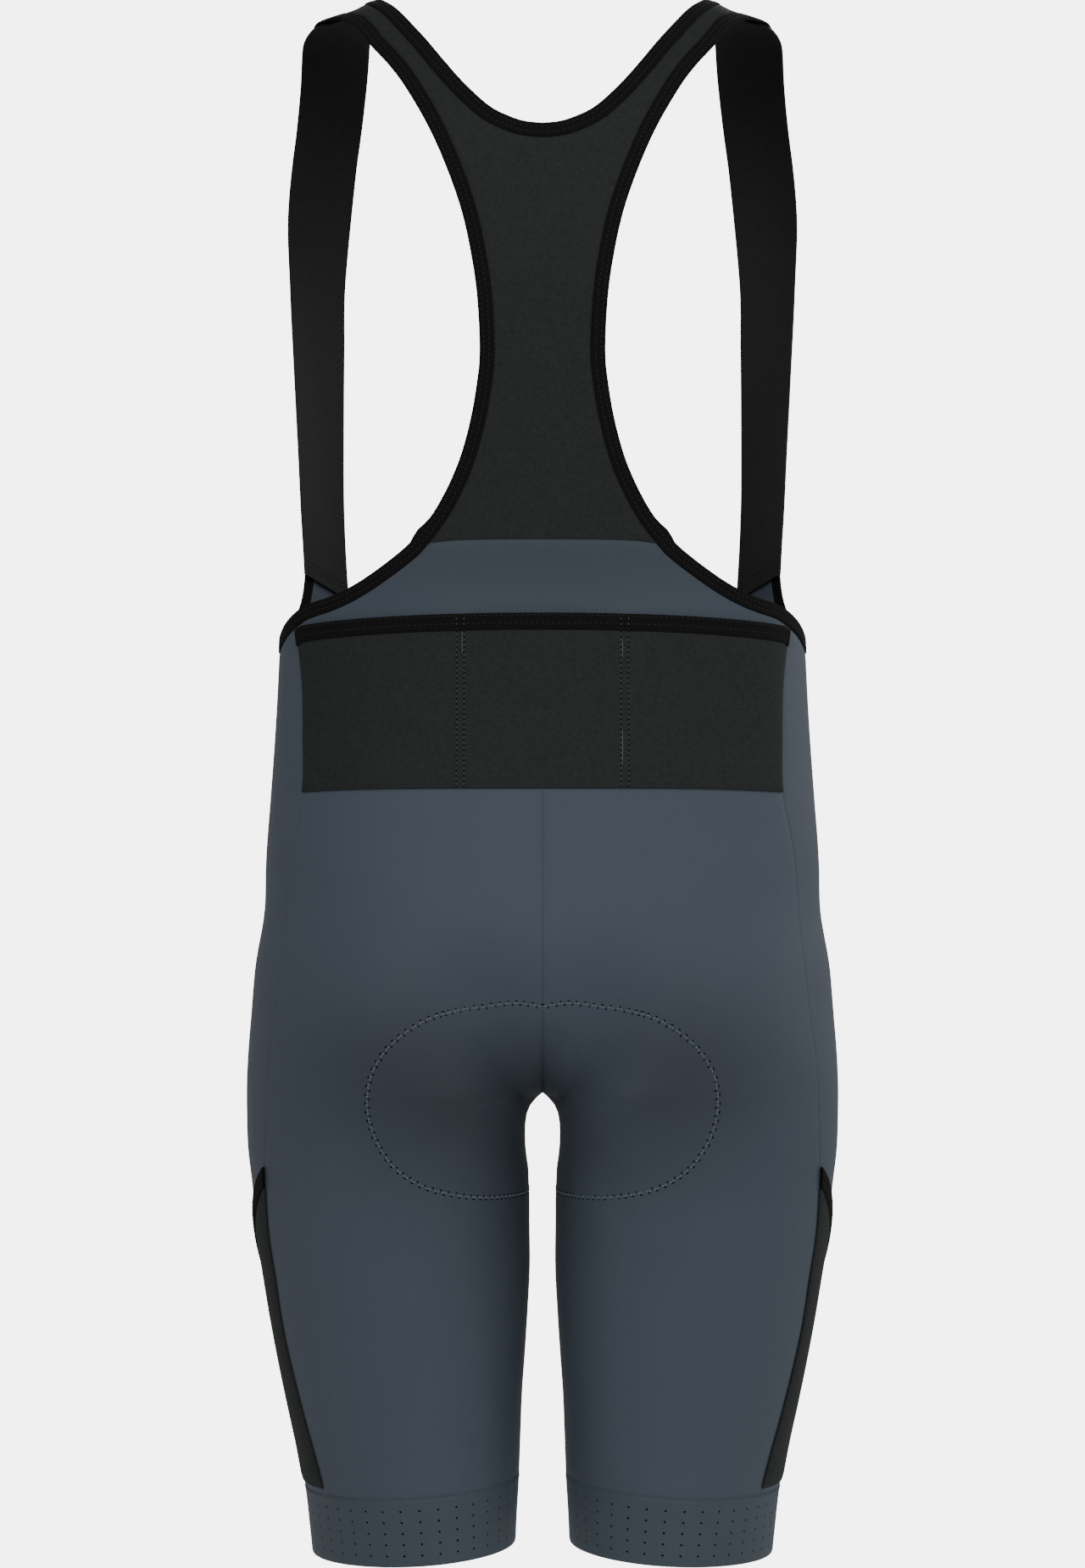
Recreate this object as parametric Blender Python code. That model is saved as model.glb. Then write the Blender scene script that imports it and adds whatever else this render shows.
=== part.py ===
"""Cycling bib shorts in the form they take when worn, as separate sewn pieces.

+X is the wearer's right, +Y the front, +Z up. The origin is midway between the tops of the two shoulders, level
with the outer face of the cloth over the middle of each strap. Tables and named sizes are in millimetres, and
the meshes are in metres. The right half is worked out, and the left half mirrors it in X.

Every piece of cloth is a wall over one of two smooth surfaces:
BODY (u, z): u runs from the centre front (0) round the side (0.5) to the centre back (1). Below the crotch it
runs round one leg, from the inside seam over the front, the outside and the back to the inside seam again.
OVER (x, v): x across, and v up the back, over the shoulder and down the front.
"""

import math
from collections import namedtuple

import bmesh
import bpy
import numpy as np

MM = 0.001

# Cloth walls and seams. "out" is how far a wall's outer face stands from the surface.
SEAM = 0.3
SIDE_PULL = 0.34  # the side panel's rows slant, so its long seams stand a little wider
PANEL_THICK = 1.2
TRIM_THICK = 1.8
TRIM_OUT = 0.6
TRIM_WIDTH = 8.7
POCKET_THICK = 1.0
POCKET_OUT = POCKET_THICK + SEAM
POCKET_TRIM_OUT = TRIM_THICK + SEAM
POCKET_TRIM_WIDTH = 10.0
STRAP_THICK = 1.5
STRAP_OUT = -2.1
GRIPPER_THICK = 1.5

# Heights
CHEST = -125.0
SHOULDER_RADIUS = 105.0
BLEND_TOP = -540.0
CROTCH = -651.0
MESH_SEAM = -321.6
MESH_SEAM_DIP = 2.0
POCKET_TOP = -364.5
POCKET_TOP_DROP = 6.4
POCKET_BOTTOM = -466.8
POCKET_CORNER_DIP = 2.4
GRIPPER_SEAM = -886.0
HEM = -926.5
SIDE_POCKET_BOTTOM = -883.0

SHOULDER_SQUARE = 2.25
HEM_TILT = 0.066  # the hem rises to the inside of the leg
HEM_TILT_LENGTH = 250.0  # below the crotch, the tilt grows over this length
LEG_TWIST = 0.10  # the outside of the leg turns to the front
LEG_TWIST_LENGTH = 180.0

# Near the inside seam the torso turns into the leg on an arc, and the shares of u say where that gives way
ARC_SHARE = 0.06
ARC_EASE = 0.36
PULL_POWER = 4  # how closely the pull under the crotch keeps to the inside of the leg

# The racerback parts into its arms here, and the rows by its lower seam ease into straight ones
ARM_START = -122.0
SEAM_EASE_ROWS = 4
SEAM_END_POWER = 5

# How closely the back pocket's edges keep level before they fall to the side seams
POCKET_TOP_POWER = 3
POCKET_CORNER_POWER = 5
POCKET_CLEARANCE = 2.0  # least height of the yoke over the pocket

# Heights of the rows of the front and back panels
FRONT_ROWS_ABOVE = 5
WAIST_ROWS = (-482.0, -497.0, -512.0, -526.0)
CROTCH_ROWS = 9
UNDER_CROTCH_ROWS = (-656.0, -662.0, -671.0, -683.0)
THIGH_TOP = -698.0
THIGH_ROWS = 12

# Spacing of the points along an edge, and the counts of rows and columns
EDGE_STEP = 14.0
FRONT_STEP = 21.0
UPPER_BACK_COLUMNS = 5
YOKE_COLUMNS = 4
YOKE_ROWS = 4
POCKET_ROWS = 5
BACK_COLUMNS = 10
SIDE_ROWS = 25
SIDE_POCKET_ROWS = 9
GRIPPER_COLUMNS = 28
GRIPPER_ROWS = 3
STRAP_COLUMNS = 4
SHARP_ANGLE = 40.0  # degrees

BLUE_GREY = ("stretch_cloth", (0.052, 0.068, 0.085), 0.62)
DARK_MESH = ("ribbed_mesh", (0.022, 0.025, 0.024), 0.75)
BLACK_TRIM = ("binding", (0.0075, 0.0075, 0.0075), 0.70)
BLACK_ELASTIC = ("elastic", (0.017, 0.017, 0.016), 0.65)
PERFORATED = ("perforated_cloth", (0.048, 0.063, 0.079), 0.62)


class Table:
    """Rows of named columns, keyed by the first, and read between the rows along smooth curves."""

    def __init__(self, columns, *rows):
        ordered = np.array(sorted(rows), float)
        if ordered.shape[1] != len(columns.split()):
            raise ValueError("each row needs the columns " + columns)
        self.keys = ordered[:, 0]
        self.values = ordered[:, 1:]
        self.slopes = np.gradient(self.values, self.keys, axis=0)

    def __call__(self, key):
        key = min(max(key, self.keys[0]), self.keys[-1])
        row = min(max(int(np.searchsorted(self.keys, key)) - 1, 0), len(self.keys) - 2)
        span = self.keys[row + 1] - self.keys[row]
        t = (key - self.keys[row]) / span
        before, after = self.values[row], self.values[row + 1]
        rise_before, rise_after = self.slopes[row] * span, self.slopes[row + 1] * span
        return (
            (2 * t**3 - 3 * t**2 + 1) * before
            + (t**3 - 2 * t**2 + t) * rise_before
            + (3 * t**2 - 2 * t**3) * after
            + (t**3 - t**2) * rise_after
        )


# Sections of the body. A square of 2 is an ellipse, and more is a fuller corner.
TORSO = Table(
    "z half back front square_back square_front",
    (-100, 184.0, 105, 104, 2.40, 4.2),
    (-125, 183.0, 107, 106, 2.40, 4.0),
    (-160, 179.0, 107, 108, 2.40, 3.3),
    (-205, 169.0, 102, 109, 2.40, 2.9),
    (-255, 160.0, 95, 109, 2.35, 2.75),
    (-310, 157.0, 88, 109, 2.30, 2.4),
    (-375, 159.3, 86, 108, 2.30, 2.2),
    (-425, 161.7, 90, 105, 2.30, 2.2),
    (-475, 165.2, 98, 101, 2.30, 2.2),
    (-514, 168.0, 107, 97, 2.25, 2.2),
    (-540, 168.6, 114, 95, 2.20, 2.2),
    (-578, 174.9, 121, 93, 2.20, 2.2),
    (-604, 176.8, 123, 92, 2.20, 2.2),
    (-630, 178.6, 122, 91, 2.20, 2.2),
    (-656, 179.4, 118, 90, 2.20, 2.2),
)

# The line along the top of the shoulder, which steps down where the arm's mesh meets its armhole trim
RIDGE = Table(
    "x height",
    (0, 36.0),
    (60, 19.2),
    (90, 11.3),
    (99, 9.4),
    (106, 7.3),
    (112, 4.3),
    (120, 1.4),
    (129, -1.5),
    (142, -5.4),
    (165, -12.5),
)

# Sections of the leg, in distances from the middle plane: it is deepest at the centre.
LEG = Table(
    "z inner centre outer back front square",
    (-540, 10.5, 52.0, 168.6, 114.0, 93.0, 2.2),
    (-604, 10.5, 54.0, 176.8, 118.5, 92.0, 2.2),
    (-651, 10.5, 57.0, 179.4, 114.4, 90.4, 2.2),
    (-668, 11.0, 60.0, 179.2, 111.4, 89.6, 2.2),
    (-681, 11.1, 63.0, 178.9, 108.2, 88.8, 2.2),
    (-707, 8.2, 71.0, 176.0, 100.5, 87.0, 2.2),
    (-733, 7.8, 79.0, 173.3, 94.5, 85.0, 2.2),
    (-759, 7.6, 84.0, 169.0, 89.0, 83.0, 2.2),
    (-784, 8.8, 86.0, 164.9, 84.5, 81.0, 2.2),
    (-810, 10.4, 85.5, 160.0, 80.0, 79.0, 2.2),
    (-836, 12.2, 83.5, 154.6, 75.5, 77.0, 2.15),
    (-862, 13.2, 81.3, 149.0, 72.5, 74.5, 2.05),
    (-887, 14.1, 79.2, 144.6, 71.0, 72.0, 1.95),
    (-913, 15.6, 77.0, 141.6, 68.0, 70.0, 1.97),
    (-935, 16.5, 76.0, 139.4, 66.5, 68.5, 1.97),
)

# How far the inside of the leg is drawn to the middle plane just under the crotch
CROTCH_PULL = Table("z pull", (-651, 10.5), (-656, 4.9), (-661, 1.9), (-668, 0.3), (-675, 0.0))

# How the share of the leg's width that each step of u takes shifts outwards near the crotch
LEG_SPREAD = Table("z spread", (-540, 0.64), (-651, 0.64), (-700, 0.40), (-760, 0.0), (-800, 0.0))

# Side panel seams, as u on BODY
SIDE_SEAMS = Table(
    "z back front",
    (-350, 0.572, 0.426),
    (-373, 0.585, 0.423),
    (-402, 0.600, 0.420),
    (-437, 0.611, 0.416),
    (-469, 0.620, 0.413),
    (-495, 0.614, 0.410),
    (-523, 0.609, 0.407),
    (-548, 0.613, 0.403),
    (-578, 0.630, 0.390),
    (-612, 0.650, 0.365),
    (-636, 0.656, 0.356),
    (-663, 0.646, 0.360),
    (-692, 0.622, 0.368),
    (-707, 0.610, 0.372),
    (-739, 0.592, 0.385),
    (-772, 0.588, 0.387),
    (-812, 0.596, 0.383),
    (-846, 0.602, 0.382),
    (-886, 0.613, 0.380),
)

# Free edges, each walked with the cloth on the same hand
NECK_EDGE = (  # x, v on OVER, from the centre back up to the shoulder
    (0.0, -83.2),
    (8.6, -82.5),
    (16.9, -80.3),
    (30.2, -74.0),
    (44.1, -61.9),
    (55.5, -49.2),
    (66.2, -35.3),
    (78.1, -18.5),
    (89.4, 1.1),
    (95.0, 12.5),
    (99.4, 29.0),
    (101.0, 46.0),
)
ARMHOLE_BACK = (  # x, v on OVER, from the shoulder down to the waist
    (140.0, 46.0),
    (137.0, 33.0),
    (130.6, 22.0),
    (122.4, 10.5),
    (117.3, 1.0),
    (111.1, -9.1),
    (101.8, -27.2),
    (90.4, -43.1),
    (80.7, -57.6),
    (66.1, -83.6),
    (55.2, -108.5),
    (46.8, -133.3),
    (41.4, -157.9),
    (38.0, -182.1),
    (36.6, -212.0),
    (38.2, -230.5),
    (42.7, -254.8),
    (50.2, -279.1),
    (62.6, -303.5),
    (77.6, -323.0),
)
ARMHOLE_SIDE = (  # u, z on BODY, from there round the side and up to the strap's outer edge
    (0.753, -323.0),
    (0.717, -334.2),
    (0.676, -345.8),
    (0.640, -353.2),
    (0.598, -358.3),
    (0.561, -366.0),
    (0.530, -373.6),
    (0.503, -377.0),
    (0.470, -374.5),
    (0.438, -366.0),
    (0.414, -353.0),
    (0.404, -337.0),
    (0.401, -321.0),
)
FRONT_NECK_EDGE = (  # u, z on BODY, from there past the strap down to the centre front
    (0.401, -321.0),
    (0.370, -328.5),
    (0.339, -337.0),
    (0.310, -350.0),
    (0.260, -374.0),
    (0.190, -398.0),
    (0.100, -413.5),
    (0.050, -417.8),
    (0.0, -419.0),
)
STRAP_LINE = (  # x, v on OVER, the middle of the strap from its end under the racerback's arm
    (117.5, 30.0),
    (121.5, 42.0),
    (125.8, 56.0),
    (128.1, 68.0),
    (131.0, 98.0),
    (134.6, 125.0),
    (138.7, 151.6),
    (141.6, 180.0),
    (143.0, 210.0),
    (143.3, 238.0),
    (142.6, 266.0),
    (141.1, 320.0),
    (139.3, 373.0),
    (136.6, 422.0),
)
STRAP_WIDTH = Table(
    "v width",
    (30, 43.0),
    (58, 43.2),
    (130, 43.0),
    (180, 43.0),
    (235, 38.8),
    (270, 39.6),
    (330, 41.6),
    (422, 40.4),
)
STRAP_END_SKEW = 17.0  # the lower end is cut on a slant, lower at the inner edge
STRAP_SKEW_LENGTH = 45.0

# Side pocket mouth: its height on the back seam, its fall to the front seam and the curve of that fall
MOUTH_BACK = -691.0
MOUTH_FALL = 120.0
MOUTH_CURVE = 1.08
MOUTH_SLANT = 48.0  # degrees, its mean slope round the leg


def superellipse(along_x, along_y, reach_x, reach_y, square):
    """The distance from the centre of a section in a given direction."""
    total = abs(along_x / reach_x) ** square + abs(along_y / reach_y) ** square
    return total ** (-1 / square)


def torso_point(u, z):
    half, back, front, square_back, square_front = TORSO(z)
    sine, cosine = math.sin(math.pi * u), math.cos(math.pi * u)
    depth, square = (front, square_front) if cosine >= 0 else (back, square_back)
    reach = superellipse(sine, cosine, half, depth, square)
    return np.array([reach * sine, reach * cosine, z])


def leg_point(u, z):
    inner, centre, outer, back, front, square = LEG(z)
    across = 1 - abs(2 * u - 1)  # 0 at the inside seam, 1 at the outside of the leg
    turn = math.pi * (across + LEG_SPREAD(z)[0] * across * (1 - across))
    sine, cosine = math.sin(turn) * (1 if u <= 0.5 else -1), -math.cos(turn)
    width = outer - centre if cosine >= 0 else centre - inner
    depth = front if sine >= 0 else back
    reach = superellipse(cosine, sine, width, depth, square)
    pull = inner if z >= CROTCH else CROTCH_PULL(z)[0]
    x = centre + reach * cosine - pull * max(0, -cosine) ** PULL_POWER
    twist = LEG_TWIST * eased((CROTCH - z) / LEG_TWIST_LENGTH)
    return np.array([x, reach * sine + twist * (x - (inner + outer) / 2), z])


def eased(share):
    share = min(1, max(0, share))
    return share**2 * (3 - 2 * share)


def body_point(u, z):
    """The torso turns into the leg along a quarter ellipse at the crotch seam, and more softly away from it."""
    if z >= BLEND_TOP:
        return torso_point(u, z)
    if z <= CROTCH:
        point = leg_point(u, z)
    else:
        down = (BLEND_TOP - z) / (BLEND_TOP - CROTCH)
        away = eased((1 - abs(2 * u - 1) - ARC_SHARE) / ARC_EASE)
        share = (1 - away) * (1 - math.sqrt(max(0, 1 - down**2))) + away * eased(down)
        point = (1 - share) * torso_point(u, z) + share * leg_point(u, z)
    inner, _, outer = LEG(z)[:3]
    tilt = HEM_TILT * eased((CROTCH - z) / HEM_TILT_LENGTH)
    point[2] -= tilt * (point[0] - (inner + outer) / 2)
    return point


def depth_at(x, z, front):
    half, back_reach, front_reach, square_back, square_front = TORSO(z)
    reach, square = (front_reach, square_front) if front else (back_reach, square_back)
    return reach * max(0, 1 - min(1, abs(x) / half) ** square) ** (1 / square)


def over_point(x, v):
    over_end = CHEST + math.pi * SHOULDER_RADIUS
    if v <= CHEST:
        return np.array([x, -depth_at(x, v, False), v])
    if v >= over_end:
        z = CHEST - (v - over_end)
        return np.array([x, depth_at(x, z, True), z])
    turn = (v - CHEST) / SHOULDER_RADIUS
    forward, up = -math.cos(turn), math.sin(turn)
    height = RIDGE(abs(x))[0] - CHEST
    reach = superellipse(forward, up, depth_at(x, CHEST, forward > 0), height, SHOULDER_SQUARE)
    return np.array([x, reach * forward, CHEST + reach * up])


Surface = namedtuple("Surface", "point outward steps limit")
BODY = Surface(body_point, -1, (0.002, 0.4), 1.0)
OVER = Surface(over_point, 1, (0.4, 0.4), math.inf)


def slopes_at(surface, place):
    """How the point moves with each of the two coordinates."""
    found = []
    for axis in (0, 1):
        ends = []
        for sign in (-1, 1):
            moved = list(place)
            moved[axis] += sign * surface.steps[axis]
            if axis == 0 and surface.limit == 1.0:
                moved[0] = min(1.0, max(0.0, moved[0]))
            ends.append((moved[axis], surface.point(*moved)))
        found.append((ends[1][1] - ends[0][1]) / (ends[1][0] - ends[0][0]))
    return found


def unit(vector):
    return vector / np.linalg.norm(vector)


def normal_at(surface, place):
    return surface.outward * unit(np.cross(*slopes_at(surface, place)))


def curve_through(knots, per_span=16):
    """A smooth curve through a few points, as many closely spaced ones."""
    knots = np.array(knots, float)
    padded = np.vstack([2 * knots[0] - knots[1], knots, 2 * knots[-1] - knots[-2]])
    found = []
    for i in range(1, len(padded) - 2):
        before, start, end, after = padded[i - 1 : i + 3]
        for t in np.arange(per_span) / per_span:
            found.append(
                start
                + t * (end - before) / 2
                + t**2 * (before - 2.5 * start + 2 * end - after / 2)
                + t**3 * (1.5 * (start - end) + (after - before) / 2)
            )
    return np.array(found + [knots[-1]])


def spaced(surface, line, count):
    """Places along a line at equal distances over the surface."""
    points = np.array([surface.point(*place) for place in line])
    lengths = np.linalg.norm(np.diff(points, axis=0), axis=1)
    travelled = np.concatenate([[0], np.cumsum(lengths)])
    wanted = np.linspace(0, travelled[-1], count)
    return np.column_stack([np.interp(wanted, travelled, line[:, axis]) for axis in (0, 1)])


def length_of(surface, line):
    points = np.array([surface.point(*place) for place in line])
    return np.linalg.norm(np.diff(points, axis=0), axis=1).sum()


def edge(surface, knots, step):
    line = curve_through(knots)
    return spaced(surface, line, round(length_of(surface, line) / step) + 1)


def beside(surface, line, width):
    """The line that runs beside another, at one distance over the cloth or at one for each place."""
    points = np.array([surface.point(*place) for place in line])
    along = np.gradient(points, axis=0)
    moved = []
    for place, way, distance in zip(line, along, np.broadcast_to(width, len(line))):
        across = unit(np.cross(way, normal_at(surface, place)))
        slopes = np.column_stack(slopes_at(surface, place))
        move = np.linalg.lstsq(slopes, across * distance, rcond=None)[0]
        moved.append(place + move)
    return np.array(moved)


def split(line, measure):
    """Cuts a line where measure changes sign. Both parts get the place of the cut."""
    values = [measure(place) for place in line]
    for i, (before, after) in enumerate(zip(values, values[1:])):
        if before * after <= 0 and before != after:
            cut = line[i] + (line[i + 1] - line[i]) * before / (before - after)
            return np.vstack([line[: i + 1], cut]), np.vstack([cut, line[i + 1 :]])
    raise ValueError("the line isn't cut")


def u_at_back(x, z):
    return math.atan2(x, -depth_at(x, z, False)) / math.pi


Patch = namedtuple("Patch", "points normals")


def patch(surface, places):
    """Points and outward directions for a grid of places, by row and column."""
    shape = places.shape[:2]
    flat = places.reshape(-1, 2)
    points = np.array([surface.point(*place) for place in flat]).reshape(*shape, 3)
    normals = np.array([normal_at(surface, place) for place in flat]).reshape(*shape, 3)
    return Patch(points, normals)


def joined(*patches):
    return Patch(
        np.concatenate([one.points for one in patches]),
        np.concatenate([one.normals for one in patches]),
    )


def pulled(cloth, *sides, by=SEAM / 2):
    """Draws the named sides back from their seams, by half the gap unless told otherwise."""
    points = cloth.points.copy()
    for side in sides:
        view = {
            "first_row": points,
            "last_row": points[::-1],
            "first_column": points.swapaxes(0, 1),
            "last_column": points.swapaxes(0, 1)[::-1],
        }[side]
        ways = view[1] - view[0]
        view[0] += by * ways / np.linalg.norm(ways, axis=1, keepdims=True)
    return Patch(points, cloth.normals)


def mirrored(cloth):
    flip = np.array([-1, 1, 1])
    return Patch(cloth.points * flip, cloth.normals * flip)


def both_halves(cloth):
    """One piece from a half whose last column lies on the middle plane."""
    other = mirrored(cloth)
    return Patch(
        np.concatenate([cloth.points, other.points[:, -2::-1]], axis=1),
        np.concatenate([cloth.normals, other.normals[:, -2::-1]], axis=1),
    )


def material_of(finish):
    name, colour, roughness = finish
    found = bpy.data.materials.get(name)
    if found:
        return found
    made = bpy.data.materials.new(name)
    made.use_nodes = True
    shader = made.node_tree.nodes["Principled BSDF"]
    shader.inputs["Base Color"].default_value = (*colour, 1)
    shader.inputs["Roughness"].default_value = roughness
    shader.inputs["Metallic"].default_value = 0.0
    return made


def wall(name, patches, out, thick, finish):
    """A closed wall over patches of cloth. Patches that share points become one piece."""
    outer, inner, index_of, faces = [], [], {}, []
    for cloth in patches:
        rows, columns = cloth.points.shape[:2]
        indices = np.empty((rows, columns), int)
        for r in range(rows):
            for c in range(columns):
                top = cloth.points[r, c] + out * cloth.normals[r, c]
                key = tuple(np.round(top, 3) + 0.0)
                if key not in index_of:
                    index_of[key] = len(outer)
                    outer.append(top)
                    inner.append(cloth.points[r, c] + (out - thick) * cloth.normals[r, c])
                indices[r, c] = index_of[key]
        for r in range(rows - 1):
            for c in range(columns - 1):
                faces.append(
                    (indices[r, c], indices[r, c + 1], indices[r + 1, c + 1], indices[r + 1, c])
                )
    rims = {}
    for face in faces:
        for start, end in zip(face, face[1:] + face[:1]):
            rims[frozenset((start, end))] = rims.get(frozenset((start, end)), []) + [(start, end)]
    shift = len(outer)
    under = [tuple(face[i] + shift for i in (0, 3, 2, 1)) for face in faces]
    sides = [
        (end, start, start + shift, end + shift)
        for uses in rims.values()
        if len(uses) == 1
        for start, end in uses
    ]
    mesh = bpy.data.meshes.new(name)
    mesh.from_pydata((np.array(outer + inner) * MM).tolist(), [], faces + under + sides)
    shell = bmesh.new()
    shell.from_mesh(mesh)
    bmesh.ops.recalc_face_normals(shell, faces=shell.faces)
    if shell.calc_volume(signed=True) < 0:
        bmesh.ops.reverse_faces(shell, faces=shell.faces)
    shell.to_mesh(mesh)
    shell.free()
    mesh.shade_smooth()
    mesh.set_sharp_from_angle(angle=math.radians(SHARP_ANGLE))
    mesh.materials.append(material_of(finish))
    made = bpy.data.objects.new(name, mesh)
    bpy.context.scene.collection.objects.link(made)
    return made


def pair(name, cloth, out, thick, finish):
    wall(name + "_right", [cloth], out, thick, finish)
    wall(name + "_left", [mirrored(cloth)], out, thick, finish)


def height_along(line):
    """The height of a line on BODY as a function of u."""
    ordered = line[np.argsort(line[:, 0])]
    return lambda u: float(np.interp(u, ordered[:, 0], ordered[:, 1]))


def make_lines():
    """The free edges, the lines a trim's width beside them, and where they meet the seams."""
    lines = {}
    lines["armhole_back"] = edge(OVER, ARMHOLE_BACK, EDGE_STEP)
    lines["armhole_side"] = edge(BODY, ARMHOLE_SIDE, EDGE_STEP)
    lines["front_neck"] = edge(BODY, FRONT_NECK_EDGE, FRONT_STEP)
    for name, surface in (("armhole_back", OVER), ("armhole_side", BODY), ("front_neck", BODY)):
        lines[name + "_in"] = beside(surface, lines[name], TRIM_WIDTH)
    lines["front_neck_in"][-1, 0] = 0.0
    neck_in = height_along(lines["front_neck_in"])

    # The armhole trim ends under the front neck trim, and the front panel has its corner there.
    def above_neck_trim(place):
        return place[1] - neck_in(place[0]) if place[0] < 0.5 else -1.0

    lines["armhole_side"] = split(lines["armhole_side"], above_neck_trim)[0]
    lines["armhole_side_in"] = split(lines["armhole_side_in"], above_neck_trim)[0]
    corner = lines["armhole_side_in"][-1]
    lines["front_neck_in"][0] = lines["armhole_side"][-1]
    lines["front_top"] = split(lines["front_neck_in"], lambda place: place[0] - corner[0])[1]

    # Along the armhole trim: racerback, yoke, side panel and front panel
    seam_height = MESH_SEAM - MESH_SEAM_DIP
    lines["racerback_out"], low = split(lines["armhole_back_in"], lambda p: p[1] - seam_height)
    low = np.array([(u_at_back(x, z), z) for x, z in low])
    round_body = np.vstack([low, lines["armhole_side_in"][1:]])
    lines["yoke_top"], rest = split(round_body, lambda p: p[0] - SIDE_SEAMS(p[1])[0])
    lines["side_top"], lines["front_side_top"] = split(rest, lambda p: p[0] - SIDE_SEAMS(p[1])[1])
    return lines


def make_trims(lines):
    """The bindings of the armholes, the neck and the front neck edge."""
    back = patch(OVER, np.stack([lines["armhole_back"], lines["armhole_back_in"]], axis=1))
    count = min(len(lines["armhole_side"]), len(lines["armhole_side_in"])) - 1
    edge_places = np.vstack([lines["armhole_side"][1:count], lines["armhole_side"][-1]])
    inner_places = np.vstack([lines["armhole_side_in"][1:count], lines["armhole_side_in"][-1]])
    side = patch(BODY, np.stack([edge_places, inner_places], axis=1))
    pair(
        "armhole_binding",
        pulled(joined(back, side), "last_column", "last_row"),
        TRIM_OUT,
        TRIM_THICK,
        BLACK_TRIM,
    )
    front = patch(BODY, np.stack([lines["front_neck"], lines["front_neck_in"]]))
    front = pulled(front, "last_row")
    wall("front_neck_binding", [both_halves(front)], TRIM_OUT, TRIM_THICK, BLACK_TRIM)


def make_upper_back(lines):
    """The racerback and its two arms, with the neck binding between them."""
    outer = lines["racerback_out"][::-1]
    arm_start = int(np.argmin(np.abs(outer[:, 1] - ARM_START)))
    arm_rows = len(outer) - arm_start
    neck = spaced(OVER, curve_through(NECK_EDGE), arm_rows)
    neck_in = beside(OVER, neck, TRIM_WIDTH)
    neck_in[0, 0] = 0.0
    middle = np.linspace(MESH_SEAM, neck_in[0, 1], arm_start + 1)[:-1]
    inner = np.vstack([np.column_stack([np.zeros(arm_start), middle]), neck_in])
    share = np.linspace(0, 1, UPPER_BACK_COLUMNS + 1)[None, :, None]
    places = outer[:, None] * (1 - share) + inner[:, None] * share
    # The seam with the yoke is level but for its ends, and the rows above it ease into straight ones.
    ease = np.clip(1 - np.arange(len(outer)) / SEAM_EASE_ROWS, 0, 1)[:, None]
    level = 1 - share[0, :, 0]
    places[:, :, 1] += MESH_SEAM_DIP * ease * (level - level**SEAM_END_POWER)
    cloth = pulled(patch(OVER, places), "first_row", "first_column")
    cloth.points[arm_start:] = pulled(
        Patch(cloth.points[arm_start:], cloth.normals[arm_start:]), "last_column"
    ).points
    cloth.points[arm_start, -1, 0] = 0.0
    wall("upper_back", [cloth, mirrored(cloth)], 0.0, PANEL_THICK, DARK_MESH)

    trim = pulled(patch(OVER, np.stack([neck, neck_in])[:, ::-1]), "last_row")
    trim.points[:, -1, 0] = 0.0
    wall("neck_binding", [both_halves(trim)], TRIM_OUT, TRIM_THICK, BLACK_TRIM)
    return places[0]


def make_yoke_and_pocket(lines, seam):
    """The yoke behind the back pocket, and the pocket from the same points moved out."""
    corner_x = seam[0, 0]
    across = np.linspace(corner_x, 0, YOKE_COLUMNS + 1)[1:]
    heights = np.interp(across, seam[::-1, 0], seam[::-1, 1])
    middle = np.array([(u_at_back(x, z), z) for x, z in zip(across, heights)])
    top = np.vstack([lines["yoke_top"][::-1], middle])
    top_back = SIDE_SEAMS(top[0, 1])[0]
    shares = (top[:, 0] - top_back) / (1 - top_back)
    away = 1 - shares
    level_top = POCKET_TOP - POCKET_TOP_DROP * away**POCKET_TOP_POWER
    pocket_top = np.minimum(level_top, top[:, 1] - POCKET_CLEARANCE)
    pocket_bottom = POCKET_BOTTOM - POCKET_CORNER_DIP * away**POCKET_CORNER_POWER
    trim_bottom = pocket_top - POCKET_TRIM_WIDTH
    rows = list(np.linspace(top[:, 1], pocket_top, YOKE_ROWS + 1))
    rows += list(np.linspace(trim_bottom, pocket_bottom, POCKET_ROWS + 1))
    places = []
    for heights in rows:
        backs = np.array([SIDE_SEAMS(z)[0] for z in heights])
        places.append(np.column_stack([backs + shares * (1 - backs), heights]))
    places = np.array(places)
    places[0, :, 0] = top[:, 0]
    cloth = pulled(patch(BODY, places), "first_row", "first_column", "last_row")
    cloth.points[:, -1, 0] = 0.0
    wall("yoke", [both_halves(cloth)], 0.0, PANEL_THICK, BLUE_GREY)

    trim = patch(BODY, places[YOKE_ROWS : YOKE_ROWS + 2])
    trim = pulled(trim, "first_column", "last_row")
    wall("back_pocket_binding", [both_halves(trim)], POCKET_TRIM_OUT, TRIM_THICK, BLACK_TRIM)
    pocket = patch(BODY, places[YOKE_ROWS + 1 :])
    pocket = pulled(pocket, "first_row", "first_column", "last_row")
    wall("back_pocket", [both_halves(pocket)], POCKET_OUT, POCKET_THICK, DARK_MESH)
    return shares, pocket_bottom


def body_levels():
    """Heights of the rows from the pocket's lower edge to the gripper, closer where the legs part."""
    turns = np.linspace(0, math.pi / 2, CROTCH_ROWS + 1)
    round_crotch = BLEND_TOP + (CROTCH - BLEND_TOP) * np.sin(turns)
    thigh = np.linspace(THIGH_TOP, GRIPPER_SEAM, THIGH_ROWS)
    return [*WAIST_ROWS, *round_crotch, *UNDER_CROTCH_ROWS, *thigh]


def clear_of_middle(cloth):
    """Keeps the two halves apart where the legs meet at the middle plane."""
    points = cloth.points.copy()
    points[:, :, 0] = np.maximum(points[:, :, 0], SEAM / 2)
    return Patch(points, cloth.normals)


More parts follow.
